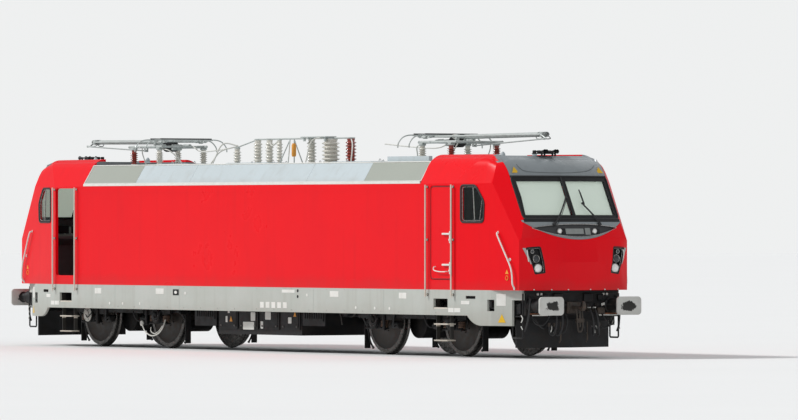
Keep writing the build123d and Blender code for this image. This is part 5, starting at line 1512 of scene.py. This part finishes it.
def makeAxleBox(groups, bogie, offset):
    # One axle box on one side: its cover with bolts, spring seats, damper, rail guard, sand pipe and lead
    settings = bogieSettings
    centre = ends[bogie] * settings["centre"]
    x, y, z = centre + offset, settings["boxY"], settings["axleZ"]
    beam = settings["beamY"]
    dark = groups["dark"]
    covers = groups["pale" if bogie == "1" and offset < 0 else "dark"]
    covers.append(lathe(settings["cover"], (x, y, z), (0, 1, 0), segments=36))
    groups["steel"] += boltCircle((x, y + 0.012, z), (0, 1, 0), 0.112, 6, 0, 0.018, 0.011)
    for flank in (-1, 1):
        seat = x + flank * settings["springX"]
        dark += [block((x + flank * 0.2, beam, 0.505), (0.24, 0.13, 0.03), 0.006),
                 block((x + flank * 0.13, beam, 0.56), (0.09, 0.12, 0.11), 0.012),
                 lathe(settings["seat"], (seat, beam, 0), segments=24),
                 rod((seat, beam, 0.51), (seat, beam, 0.68), 0.03, 10)]
    outward = math.copysign(1, offset)
    damper = x - outward * 0.36
    tip = centre + outward * settings["endX"]
    dark += [lathe(settings["damper"], (damper, 1.1, 0), segments=18),
             block((damper, 1.085, 0.49), (0.05, 0.07, 0.05), 0.01),
             block((damper, 1.085, 0.845), (0.05, 0.07, 0.04), 0.01),
             block((centre + outward * 1.87, 0.9, 0.74), (0.26, 0.2, 0.05), 0.01),
             block((tip, 0.78, 0.42), (0.024, 0.13, 0.62), 0.006),
             block((tip, 0.84, 0.71), (0.05, 0.26, 0.05), 0.008)]
    pipe = smoothPath([(tip - outward * back, side, height) for back, side, height in (
        (0.03, 0.9, 0.7), (0.035, 0.8, 0.5), (0.05, 0.755, 0.26), (0.16, 0.75, 0.115))])
    groups["steel"].append(rod(pipe[-2], pipe[-1], 0.024, 12))
    lead = [(x, y + 0.055, z), (x + 0.1, y + 0.075, z - 0.06), (x + 0.2, y + 0.05, z + 0.02),
            (x + 0.22, y, z + 0.14), (x + 0.24, beam + 0.066, z + 0.2)]
    groups["hoses"] += [tube(pipe, 0.018, 10), hose(lead, 0.01, 8, 7)]


def makeBogieSide(groups, centre):
    # Brackets and brake cylinders on one beam, the pipes along it with their clips, and the brake hoses
    beam = bogieSettings["beamY"]
    dark = groups["dark"]
    dark += [block((centre - 0.72, 1.09, 0.74), (0.26, 0.05, 0.15), 0.015),
             block((centre + 0.74, 1.09, 0.76), (0.2, 0.06, 0.12), 0.015),
             block((centre, beam, 0.885), (0.86, 0.2, 0.03), 0.008)]
    dark += [lathe(bogieSettings["cylinder"], (centre + x, 0.96, 0.58), (1, 0, 0), segments=28)
             for x in (-0.7, 0.7)]
    dark += [block((centre + x, 1.06, 0.91), (0.03, 0.035, 0.07), 0.004) for x in np.linspace(-1.6, 1.6, 9)]
    # The pipes wave a little, as a sine along their length
    for z, radius in ((0.905, 0.011), (0.93, 0.008)):
        run = np.stack([centre + np.linspace(-1.7, 1.7, 30), np.full(30, 1.06),
                        z + 0.008 * np.sin(np.linspace(0, 14, 30))], axis=1)
        groups["steel"].append(tube(run, radius, 8))
    for x in (-0.42, 0.42):
        run = [(centre + x * share, y, z) for share, y, z in (
            (1, 1.04, 0.88), (1.15, 1.14, 0.84), (1.3, 1.15, 0.66), (1.45, 1.1, 0.55), (1.6, 1.0, 0.56))]
        groups["hoses"].append(hose(run, 0.013, 8, 7))
        dark.append(block((centre + x * 2.3, beam, 0.89), (0.12, 0.1, 0.03), 0.006))


def primarySprings(end):
    # The springs beside the axle boxes, all wound the same way; returns the brown ones and the black ones
    settings = bogieSettings
    brown, black = [], []
    for offset in both([settings["axle"]]):
        for flank in (-1, 1):
            seat = end * settings["centre"] + offset + flank * settings["springX"]
            target = brown if flank * offset * end < 0 or flank == end else black
            target += [helix((seat, y, 0.53), 0.135, 0.062, 0.0125, 4.5) for y in both([settings["beamY"]])]
    return brown, black


def makeBogieDetail():
    # Both sides of each bogie are alike; the pale earthing loops hang under one box only
    settings = bogieSettings
    for bogie, end in ends.items():
        groups = {"dark": [], "pale": [], "hoses": [], "steel": []}
        for offset in (-settings["axle"], settings["axle"]):
            makeAxleBox(groups, bogie, offset)
        makeBogieSide(groups, end * settings["centre"])
        groups = {key: twoSides(parts) for key, parts in groups.items()}
        groups["brown"], black = primarySprings(end)
        groups["dark"] += black
        if bogie == "1":
            groups["pale"] += [hose(*row, steps=9) for row in settings["loops"]]
            groups["pale"].append(lathe([(0, 0), (0.055, 0), (0.058, 0.006), (0.052, 0.022), (0.02, 0.03),
                                         (0, 0.031)], (-4.36, -1.15, 0.5), (0, -1, 0), segments=28))
            groups["dark"].append(block((-4.34, -1.08, 0.51), (0.12, 0.14, 0.1), 0.02))
        for key, name, finish in (("dark", "bogie_fittings_", "black_steel"),
                                  ("pale", "pale_fittings_", whiteHose),
                                  ("brown", "primary_springs_", springBrown),
                                  ("hoses", "bogie_hoses_", rubber),
                                  ("steel", "bogie_pipes_", steelGrey)):
            if groups[key]:
                addPiece(name + bogie, groups[key], finish, "bogie_" + bogie)


floorSettings = {
    "boxY": 1.15, "lids": [(-1.46, -0.78), (-0.72, -0.04), (0.04, 0.72), (0.78, 1.46)],
    # Blank labels: x, z, width, height; and where the blank triangles are
    "labelY": 1.183, "labels": [(-0.36, 0.5, 0.4, 0.15), (-0.2, 0.68, 0.16, 0.17), (0.34, 0.7, 0.2, 0.15),
                                (0.12, 0.52, 0.09, 0.14), (1.12, 0.62, 0.12, 0.12), (-1.16, 0.62, 0.07, 0.12),
                                (-1.08, 0.8, 0.07, 0.12)],
    "triangles": [(-1.0, 0.62), (1.3, 0.74)], "tankX": 2.6, "tankZ": 0.9, "tankRadius": 0.203,
}


def makeUnderfloorDetail():
    # Lids, ribs, latches and pipes on the boxes between the bogies, straps on the tanks, and blank labels
    settings = floorSettings
    along, down = (1, 0, 0), (0, 0, -1)
    y, tankZ = settings["boxY"], settings["tankZ"]
    dark, steel = [], []
    for x0, x1 in settings["lids"]:
        middle, width = (x0 + x1) / 2, x1 - x0
        outline = roundedOutline(width, 0.62, 0.03, 4)
        dark += [plate(outline, (middle, y, 0.74), along, down, 0.022),
                 plate(outline * (0.86, 0.82), (middle, y + 0.022, 0.74), along, down, 0.008)]
        steel += [block((middle + dx, y + 0.034, z), (0.05, 0.022, 0.035), 0.005)
                  for dx in both([width * 0.36]) for z in (0.5, 0.98)]
    for x in (-1.95, 1.95):
        dark.append(plate(roundedOutline(0.7, 0.5, 0.03, 4), (x, 1.17, 0.86), along, down, 0.018))
        dark += [block((x - 0.28 + index * 0.08, 1.192, 0.86), (0.02, 0.022, 0.4), 0.004)
                 for index in range(8)]
        steel.append(block((x, 1.2, 1.07), (0.1, 0.02, 0.03), 0.005))
    # The pipes wave a little, as a sine along their length
    for z, radius in ((1.2, 0.022), (1.26, 0.014)):
        run = np.stack([np.linspace(-3.0, 3.0, 50), np.full(50, 1.215),
                        z + 0.01 * np.sin(np.linspace(0, 16, 50))], axis=1)
        steel.append(tube(run, radius, 10))
    dark += [block((x, 1.205, 1.23), (0.03, 0.05, 0.12), 0.004) for x in np.linspace(-2.8, 2.8, 15)]
    for x in both([settings["tankX"]]):
        steel += [closedSweep(ringPath((x, offset, tankZ), 0, 2, settings["tankRadius"], 36),
                              [(-0.003, -0.02), (0.003, -0.02), (0.003, 0.02), (-0.003, 0.02)], (0, 1, 0))
                  for offset in (0.35, 0.75)]
        dark.append(lathe([(0.19, 0.9), (0.14, 0.935), (0.08, 0.95), (0, 0.955)], (x, 0, tankZ), (0, 1, 0),
                          segments=36))
        steel.append(hose([(x, 0.95, 0.86), (x + 0.04, 1.02, 0.76), (x + 0.12, 1.05, 0.7),
                           (x + 0.2, 1.08, 0.56)], 0.012, 8, 6))
    pale = [plate(roundedOutline(width, height, min(width, height) * 0.12, 3),
                  (x, settings["labelY"], z), along, down, 0.003)
            for x, z, width, height in settings["labels"]]
    marks = [plate([(-0.05, 0.045), (0.05, 0.045), (0, -0.06)],
                   (x, settings["labelY"], z), along, down, 0.003) for x, z in settings["triangles"]]
    for name, parts, finish in (("underfloor_lids", dark, "black_steel"),
                                ("underfloor_pipes", steel, steelGrey),
                                ("underfloor_labels", pale, labelWhite),
                                ("underfloor_marks", marks, orangePaint)):
        addPiece(name, twoSides(parts), finish)


makeBuffers()
makeNoseUnderside()
makeBogieDetail()
makeUnderfloorDetail()
print("underfloor made")


skinSettings = {
    # Fold lines that are rounded off, each as (|x|, |y|, z) of its two ends
    "folds": [((8.235, 1.329, 3.238), (8.941, 1.22, 2.177)), ((8.941, 1.22, 2.177), (8.941, 1.22, 1.261)),
              ((8.235, 1.329, 3.238), (8.153, 1.136, 3.785)), ((8.884, 1.085, 2.56), (8.511, 1.085, 3.238)),
              ((8.904, 1.092, 2.508), (8.958, 1.18, 2.23))],
    "offset": 0.1, "segments": 7, "reach": 0.004, "seam": 3.238,
    # Angles in degrees: of faces joined as flat, of edges that may be rounded, and of edges kept sharp
    "flat": 0.6, "fold": 4, "sharp": 24,
    # How far inside the skin the lining starts, and how deep in the wall the rounding still pulls
    "lining": 0.045, "deep": 0.125, "fade": 0.105,
    # The hood's side at the top: half width, where it tapers, and the levels where cuts and bends begin
    "topHalf": 1.19, "topTaper": 7.8, "cutFrom": 3.3, "bendFrom": 3.2,
    # The top's edges: its height, where the pillar starts, its slope, and the reaches of the rounding
    "top": 3.785, "pillarY": 1.085, "pillarSlope": 1.125, "frontReach": 0.47, "sideReach": 0.24,
    "frontWay": (-0.518, 0.0, -0.876), "sideWay": (0.0, -0.667, -0.943),
    "cutsX": (7.92, 7.99, 8.06, 8.12, 8.18, 8.23, 8.27, 8.31, 8.34),
    "cutsY": (0.9, 0.95, 1.0, 1.045, 1.115, 1.145, 1.17),
    "cutsZ": (3.765, 3.74, 3.705, 3.66, 3.61, 3.55, 3.48, 3.42),
}


def nearLine(spots, start, end, reach):
    # True where every point lies within the reach of the line between start and end
    start, end = np.array(start), np.array(end)
    run = end - start
    share = (spots - start) @ run / (run @ run)
    away = np.linalg.norm(spots - start - share[:, None] * run, axis=1)
    return bool(np.all((share > -0.02) & (share < 1.02) & (away < reach)))


def cutTop(work, end):
    # Cuts the faces near the top along planes, so that they can bend
    settings = skinSettings
    planes = [((end * x, 0, 0), (1, 0, 0)) for x in settings["cutsX"]]
    planes += [((0, side * y, 0), (0, 1, 0)) for y in settings["cutsY"] for side in (-1, 1)]
    planes += [((0, 0, z), (0, 0, 1)) for z in settings["cutsZ"]]
    for spot, normal in planes:
        faces = [face for face in work.faces if max(vert.co.z for vert in face.verts) > settings["cutFrom"]]
        geometry = list({item for face in faces for item in (face, *face.edges, *face.verts)})
        bmesh.ops.bisect_plane(work, geom=geometry, dist=1e-5, plane_co=spot, plane_no=normal)


def skinGaps(x, y, z):
    # How far a point lies behind the front, inside the side and below the top of the unrounded cab
    settings = skinSettings
    pillar = settings["pillarY"]
    front = frontPoints(np.minimum(y, pillar), z)[:, 0] - settings["pillarSlope"] * np.maximum(0, y - pillar)
    lean = np.clip((z - settings["seam"]) / (settings["top"] - settings["seam"]), 0, 1)
    high = settings["topHalf"] - taper * np.maximum(0, x - settings["topTaper"])
    side = sideY(x) * (1 - lean) + high * lean
    return front - x, side - y, settings["top"] - z


def lineInside(mesh):
    # Faces well inside the skin take the second material, the lining
    centres = np.empty(len(mesh.polygons) * 3)
    mesh.polygons.foreach_get("center", centres)
    centres = centres.reshape(-1, 3)
    gaps = skinGaps(np.abs(centres[:, 0]), np.abs(centres[:, 1]), centres[:, 2])
    inside = (np.min(gaps, axis=0) > skinSettings["lining"]) & (centres[:, 2] > 1.3)
    mesh.polygons.foreach_set("material_index", inside.astype(np.int32))


def roundTop(mesh):
    # A point at the share s of the reach from an edge moves inwards by ((1 - s) / 2) squared times the
    # reach, which is a quadratic curve across the edge; what lies deeper in the wall follows less
    settings = skinSettings
    flat = np.empty(len(mesh.vertices) * 3)
    mesh.vertices.foreach_get("co", flat)
    points = flat.reshape(-1, 3)
    x, y, z = np.abs(points[:, 0]), np.abs(points[:, 1]), points[:, 2]
    gaps = skinGaps(x, y, z)
    frontGap, sideGap, down = gaps
    depth = np.clip((settings["deep"] - np.min(gaps, axis=0)) / settings["fade"], 0, 1)
    for gap, reach, way in ((frontGap, settings["frontReach"], settings["frontWay"]),
                            (sideGap, settings["sideReach"], settings["sideWay"])):
        share = (np.maximum(gap, 0) + down / -way[2]) / reach
        weight = depth * (np.clip(1 - share, 0, 1) / 2) ** 2 * reach
        weight[(z < settings["bendFrom"]) | (x < 6.0)] = 0
        points += weight[:, None] * np.array(way) * np.sign(points * (1, 1, 0) + (0, 0, 1))
    mesh.vertices.foreach_set("co", points.ravel())
    mesh.update()


def finishSkin(name, work, slot, replaced):
    mesh = bpy.data.meshes.new(name)
    work.to_mesh(mesh)
    work.free()
    mesh.materials.clear()
    mesh.materials.append(materials[slot])
    if slot == "body_red":
        mesh.materials.append(materials["cab_lining"])
        lineInside(mesh)
    roundTop(mesh)
    mesh.shade_smooth()
    mesh.set_sharp_from_angle(angle=math.radians(skinSettings["sharp"]))
    piece = addObject(name, mesh)
    weigh = piece.modifiers.new("weigh", "WEIGHTED_NORMAL")
    weigh.keep_sharp = True
    weigh.weight = 100
    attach(piece, "carbody")
    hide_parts(*replaced)


def mergedNodes(names, end):
    # The named CAD nodes' faces at one end, as one mesh
    work = bmesh.new()
    for node in names:
        work.from_mesh(nodes[node].data)
    bmesh.ops.delete(work, geom=[vert for vert in work.verts if vert.co.x * end < 0], context="VERTS")
    bmesh.ops.remove_doubles(work, verts=work.verts, dist=0.0002)
    return work


def makeCabSkins():
    # Each cab's red shell and hood as one skin with rounded folds, and the grey panels bent with them
    settings = skinSettings
    flat, fold = math.radians(settings["flat"]), math.radians(settings["fold"])
    for bogie, end in ends.items():
        work = mergedNodes(("cab_shell_" + bogie, "cab_hoods"), end)
        seam = [face for face in work.faces
                if all(abs(vert.co.z - settings["seam"]) < 0.0006 for vert in face.verts)]
        bmesh.ops.delete(work, geom=seam, context="FACES")
        bmesh.ops.holes_fill(work, edges=[edge for edge in work.edges if edge.is_boundary], sides=0)
        bmesh.ops.dissolve_limit(work, angle_limit=flat, verts=work.verts, edges=work.edges)
        chosen = []
        for edge in work.edges:
            if len(edge.link_faces) == 2 and edge.calc_face_angle(0) > fold:
                spots = np.abs([tuple(vert.co) for vert in edge.verts])
                if any(nearLine(spots, start, stop, settings["reach"]) for start, stop in settings["folds"]):
                    chosen.append(edge)
        bmesh.ops.bevel(work, geom=chosen, offset=settings["offset"], offset_type="OFFSET",
                        segments=settings["segments"], profile=0.5, affect="EDGES", clamp_overlap=True,
                        material=-1)
        cutTop(work, end)
        finishSkin("cab_skin_" + bogie, work, "body_red", ["cab_shell_" + bogie, "cab_hoods"])
        work = mergedNodes(("front_panels",), end)
        bmesh.ops.dissolve_limit(work, angle_limit=flat, verts=work.verts, edges=work.edges)
        cutTop(work, end)
        finishSkin("front_skin_" + bogie, work, "front_grey", ["front_panels"])


extraSettings = {
    # The crease in the brow as (y, z), and the pale panel outside each headlight
    "crease": [(-0.885, 3.59), (-0.85, 3.53), (-0.78, 3.475), (-0.6, 3.447), (0.0, 3.432), (0.5, 3.455),
               (0.76, 3.505), (0.86, 3.575)],
    "panel": [(1.03, 1.745), (1.016, 1.745), (1.116, 2.043), (1.168, 2.043)],
}


def makeFrontExtras():
    # Dark liner of the lens recess, the crease in the brow drawn as a darker rib of painted shade, and the
    # pale panel outside each headlight
    arc = np.linspace(-0.935, 0.935, 40)[:, None]
    share = np.linspace(0, 1, 4)[None, :]
    # The liner's edges: a level plus a multiple of the square of the share of the recess's half width
    bend = (arc / trimSettings["recess"]) ** 2
    low, high = 2.258 + 0.162 * bend, 2.476 - 0.065 * bend
    z = low + (high - low) * share
    liner = slab(frontPoints(arc, z, -0.033), frontPoints(arc, z, -0.036))
    line = smoothPath(extraSettings["crease"])
    rib = sweep(frontPoints(line[:, 0], line[:, 1], 0.001), roundedOutline(0.012, 0.008, 0.003, 2),
                up=(1, 0, 0.5))
    panel = frontSlab(extraSettings["panel"], -0.012, 0.003, 10, 6)
    addPiece("recess_liners", twoEnds([liner]), darkCarbon)
    addPiece("brow_creases", twoEnds([rib]), creaseShadeGrey)
    addPiece("lamp_panels", fourWays([panel]), panelGrey)


def flush(x0, x1, z0, z1, stand):
    # A thin plate let into the flat of the skirt
    x, z = np.meshgrid([x0, x1], [z0, z1], indexing="ij")
    return slab(np.stack([x, halfWidth + stand + 0 * x, z], -1),
                np.stack([x, halfWidth - 0.002 + 0 * x, z], -1))


def makeSkirtMarks():
    # Blank squares and a plate on one half of each skirt, the filler pocket's cap and two drain holes
    along, down = (1, 0, 0), (0, 0, -1)
    whites = [flush(x, x + 0.135, 0.862, 0.976, 0.003) for x in 0.53 + np.arange(5) * 0.205]
    whites += [flush(1.31, 1.76, 1.16, 1.22, 0.003),
               plate(circle(0.04, 24) * (1.25, 0.75), (-2.55, 1.4905, 1.134), along, down, 0.006)]
    # The drain holes and the filler pocket are flat black plates: painted shade standing for their dark
    # insides
    holes = [plate(circle(0.03, 20), (1.87, 1.4886, z), along, down, 0.0025) for z in (1.2, 1.09)]
    holes.append(flush(-2.66, -2.44, 1.075, 1.193, 0.0025))
    for name, parts, finish in (("skirt_squares", whites, labelWhite), ("skirt_holes", holes, deepBlack)):
        addPiece(name, [mirror(part) for part in parts for mirror in (mirrorY, mirrorX)], finish)


seatSettings = {"x": 7.54, "cushion": (0.47, 0.49, 0.115, 1.89), "backX": 7.325,
                "back": (0.115, 0.45, 0.74, 2.285), "squareness": 0.32}


def cushion(centre, size, bulge):
    # A pillow: the points of a ball pushed onto a rounded block by a power of each sine and cosine, and
    # crowned by (1 - u squared)(1 - v squared) on its two broad faces
    turn = np.linspace(0, 2 * math.pi, 48, endpoint=False)
    lift = np.linspace(-math.pi / 2, math.pi / 2, 17)
    power = seatSettings["squareness"]

    def soft(value):
        return np.sign(value) * np.abs(value) ** power

    ring = np.stack([soft(np.cos(turn)), soft(np.sin(turn))], axis=1)
    level = np.stack([np.abs(np.cos(lift)) ** power, soft(np.sin(lift))], axis=1)
    flat = level[:, None, 0:1] * ring[None]
    crown = 1 + bulge * (1 - np.clip(flat[..., 0], -1, 1) ** 2) * (1 - np.clip(flat[..., 1], -1, 1) ** 2)
    height = np.broadcast_to(level[:, None, 1], crown.shape) * crown / (1 + bulge)
    points = np.concatenate([flat, height[..., None]], axis=-1).reshape(-1, 3)
    faces = gridFaces(len(lift), len(turn), closeColumns=True)
    return points * np.asarray(size) / 2 + np.asarray(centre, float), faces


def makeSeats():
    # Padded cushion and back, on a turned pedestal with arm rests, at both driver's desks
    settings = seatSettings
    length, width, height, middle = settings["cushion"]
    pads = [cushion((settings["x"], 0, middle), (length, width, height), 0.25)]
    thick, broad, tall, centre = settings["back"]
    points, faces = cushion((0, 0, 0), (tall, broad, thick), 0.2)
    # The back stands up: its length runs along z, and its broad face looks along x
    pads.append((points[:, [2, 1, 0]] + (settings["backX"], 0, centre), faces))
    metal = [lathe([(0, 1.437), (0.058, 1.437), (0.058, 1.452), (0.05, 1.47), (0.046, 1.74), (0.058, 1.76),
                    (0.058, 1.832), (0, 1.832)], (7.52, 0, 0), segments=32),
             hose([(7.42, 0, 1.84), (7.3, 0, 1.86), (7.285, 0, 1.98), (7.29, 0, 2.15)], 0.016)]
    metal += [hose([(7.3, y, 2.1), (7.4, y, 2.115), (7.6, y, 2.11), (7.64, y, 2.1)], 0.018, 10, 6)
              for y in (-0.235, 0.235)]
    piece = addPiece("seat_pads", twoEnds(pads), "seat_fabric", replaces=["driver_seats"], sharp=60)
    addPiece("seat_frames", twoEnds(metal), "black_steel", replaces=["driver_seats"])


def makeDeskDetail():
    # Screens, a master lever, buttons and a microphone on each desk, and cupboards on the bulkheads
    dark, glass, pale = [], [], []
    for y in (-0.55, -0.18, 0.2, 0.58):
        dark.append(block((8.45, y, 2.345), (0.05, 0.3, 0.2), 0.01))
        glass.append(block((8.422, y, 2.35), (0.006, 0.25, 0.15), 0.002))
    for y in (-0.34, 0.36):
        dark += [block((8.2, y, 2.262), (0.16, 0.06, 0.02), 0.006),
                 rod((8.2, y, 2.26), (8.17, y, 2.36), 0.009),
                 lathe([(0, 0), (0.016, 0.004), (0.021, 0.02), (0.014, 0.038), (0, 0.042)], (8.17, y, 2.355),
                       segments=16)]
    # The buttons stand square to the sloping desk
    pale += [lathe([(0, 0), (0.011, 0), (0.011, 0.008), (0.007, 0.012), (0, 0.012)], (8.33, y, 2.272),
                   (-0.05, 0, 0.42), segments=12) for y in -0.72 + np.arange(10) * 0.16]
    dark.append(hose([(8.3, 0.8, 2.26), (8.26, 0.8, 2.34), (8.2, 0.78, 2.44), (8.14, 0.76, 2.48)],
                     0.006, 8, 7))
    for y in (-1.02, 1.02):
        dark.append(block((6.365, y, 2.2), (0.045, 0.34, 0.6), 0.012))
        pale.append(block((6.39, y, 2.36), (0.006, 0.12, 0.05), 0.002))
    addPiece("desk_controls", twoEnds(dark), "black_steel")
    addPiece("desk_screens", twoEnds(glass), "lamp_glass")
    addPiece("desk_buttons", twoEnds(pale), labelWhite)


makeCabSkins()
makeFrontExtras()
makeSkirtMarks()
makeSeats()
makeDeskDetail()
print("cab skins and interiors made")
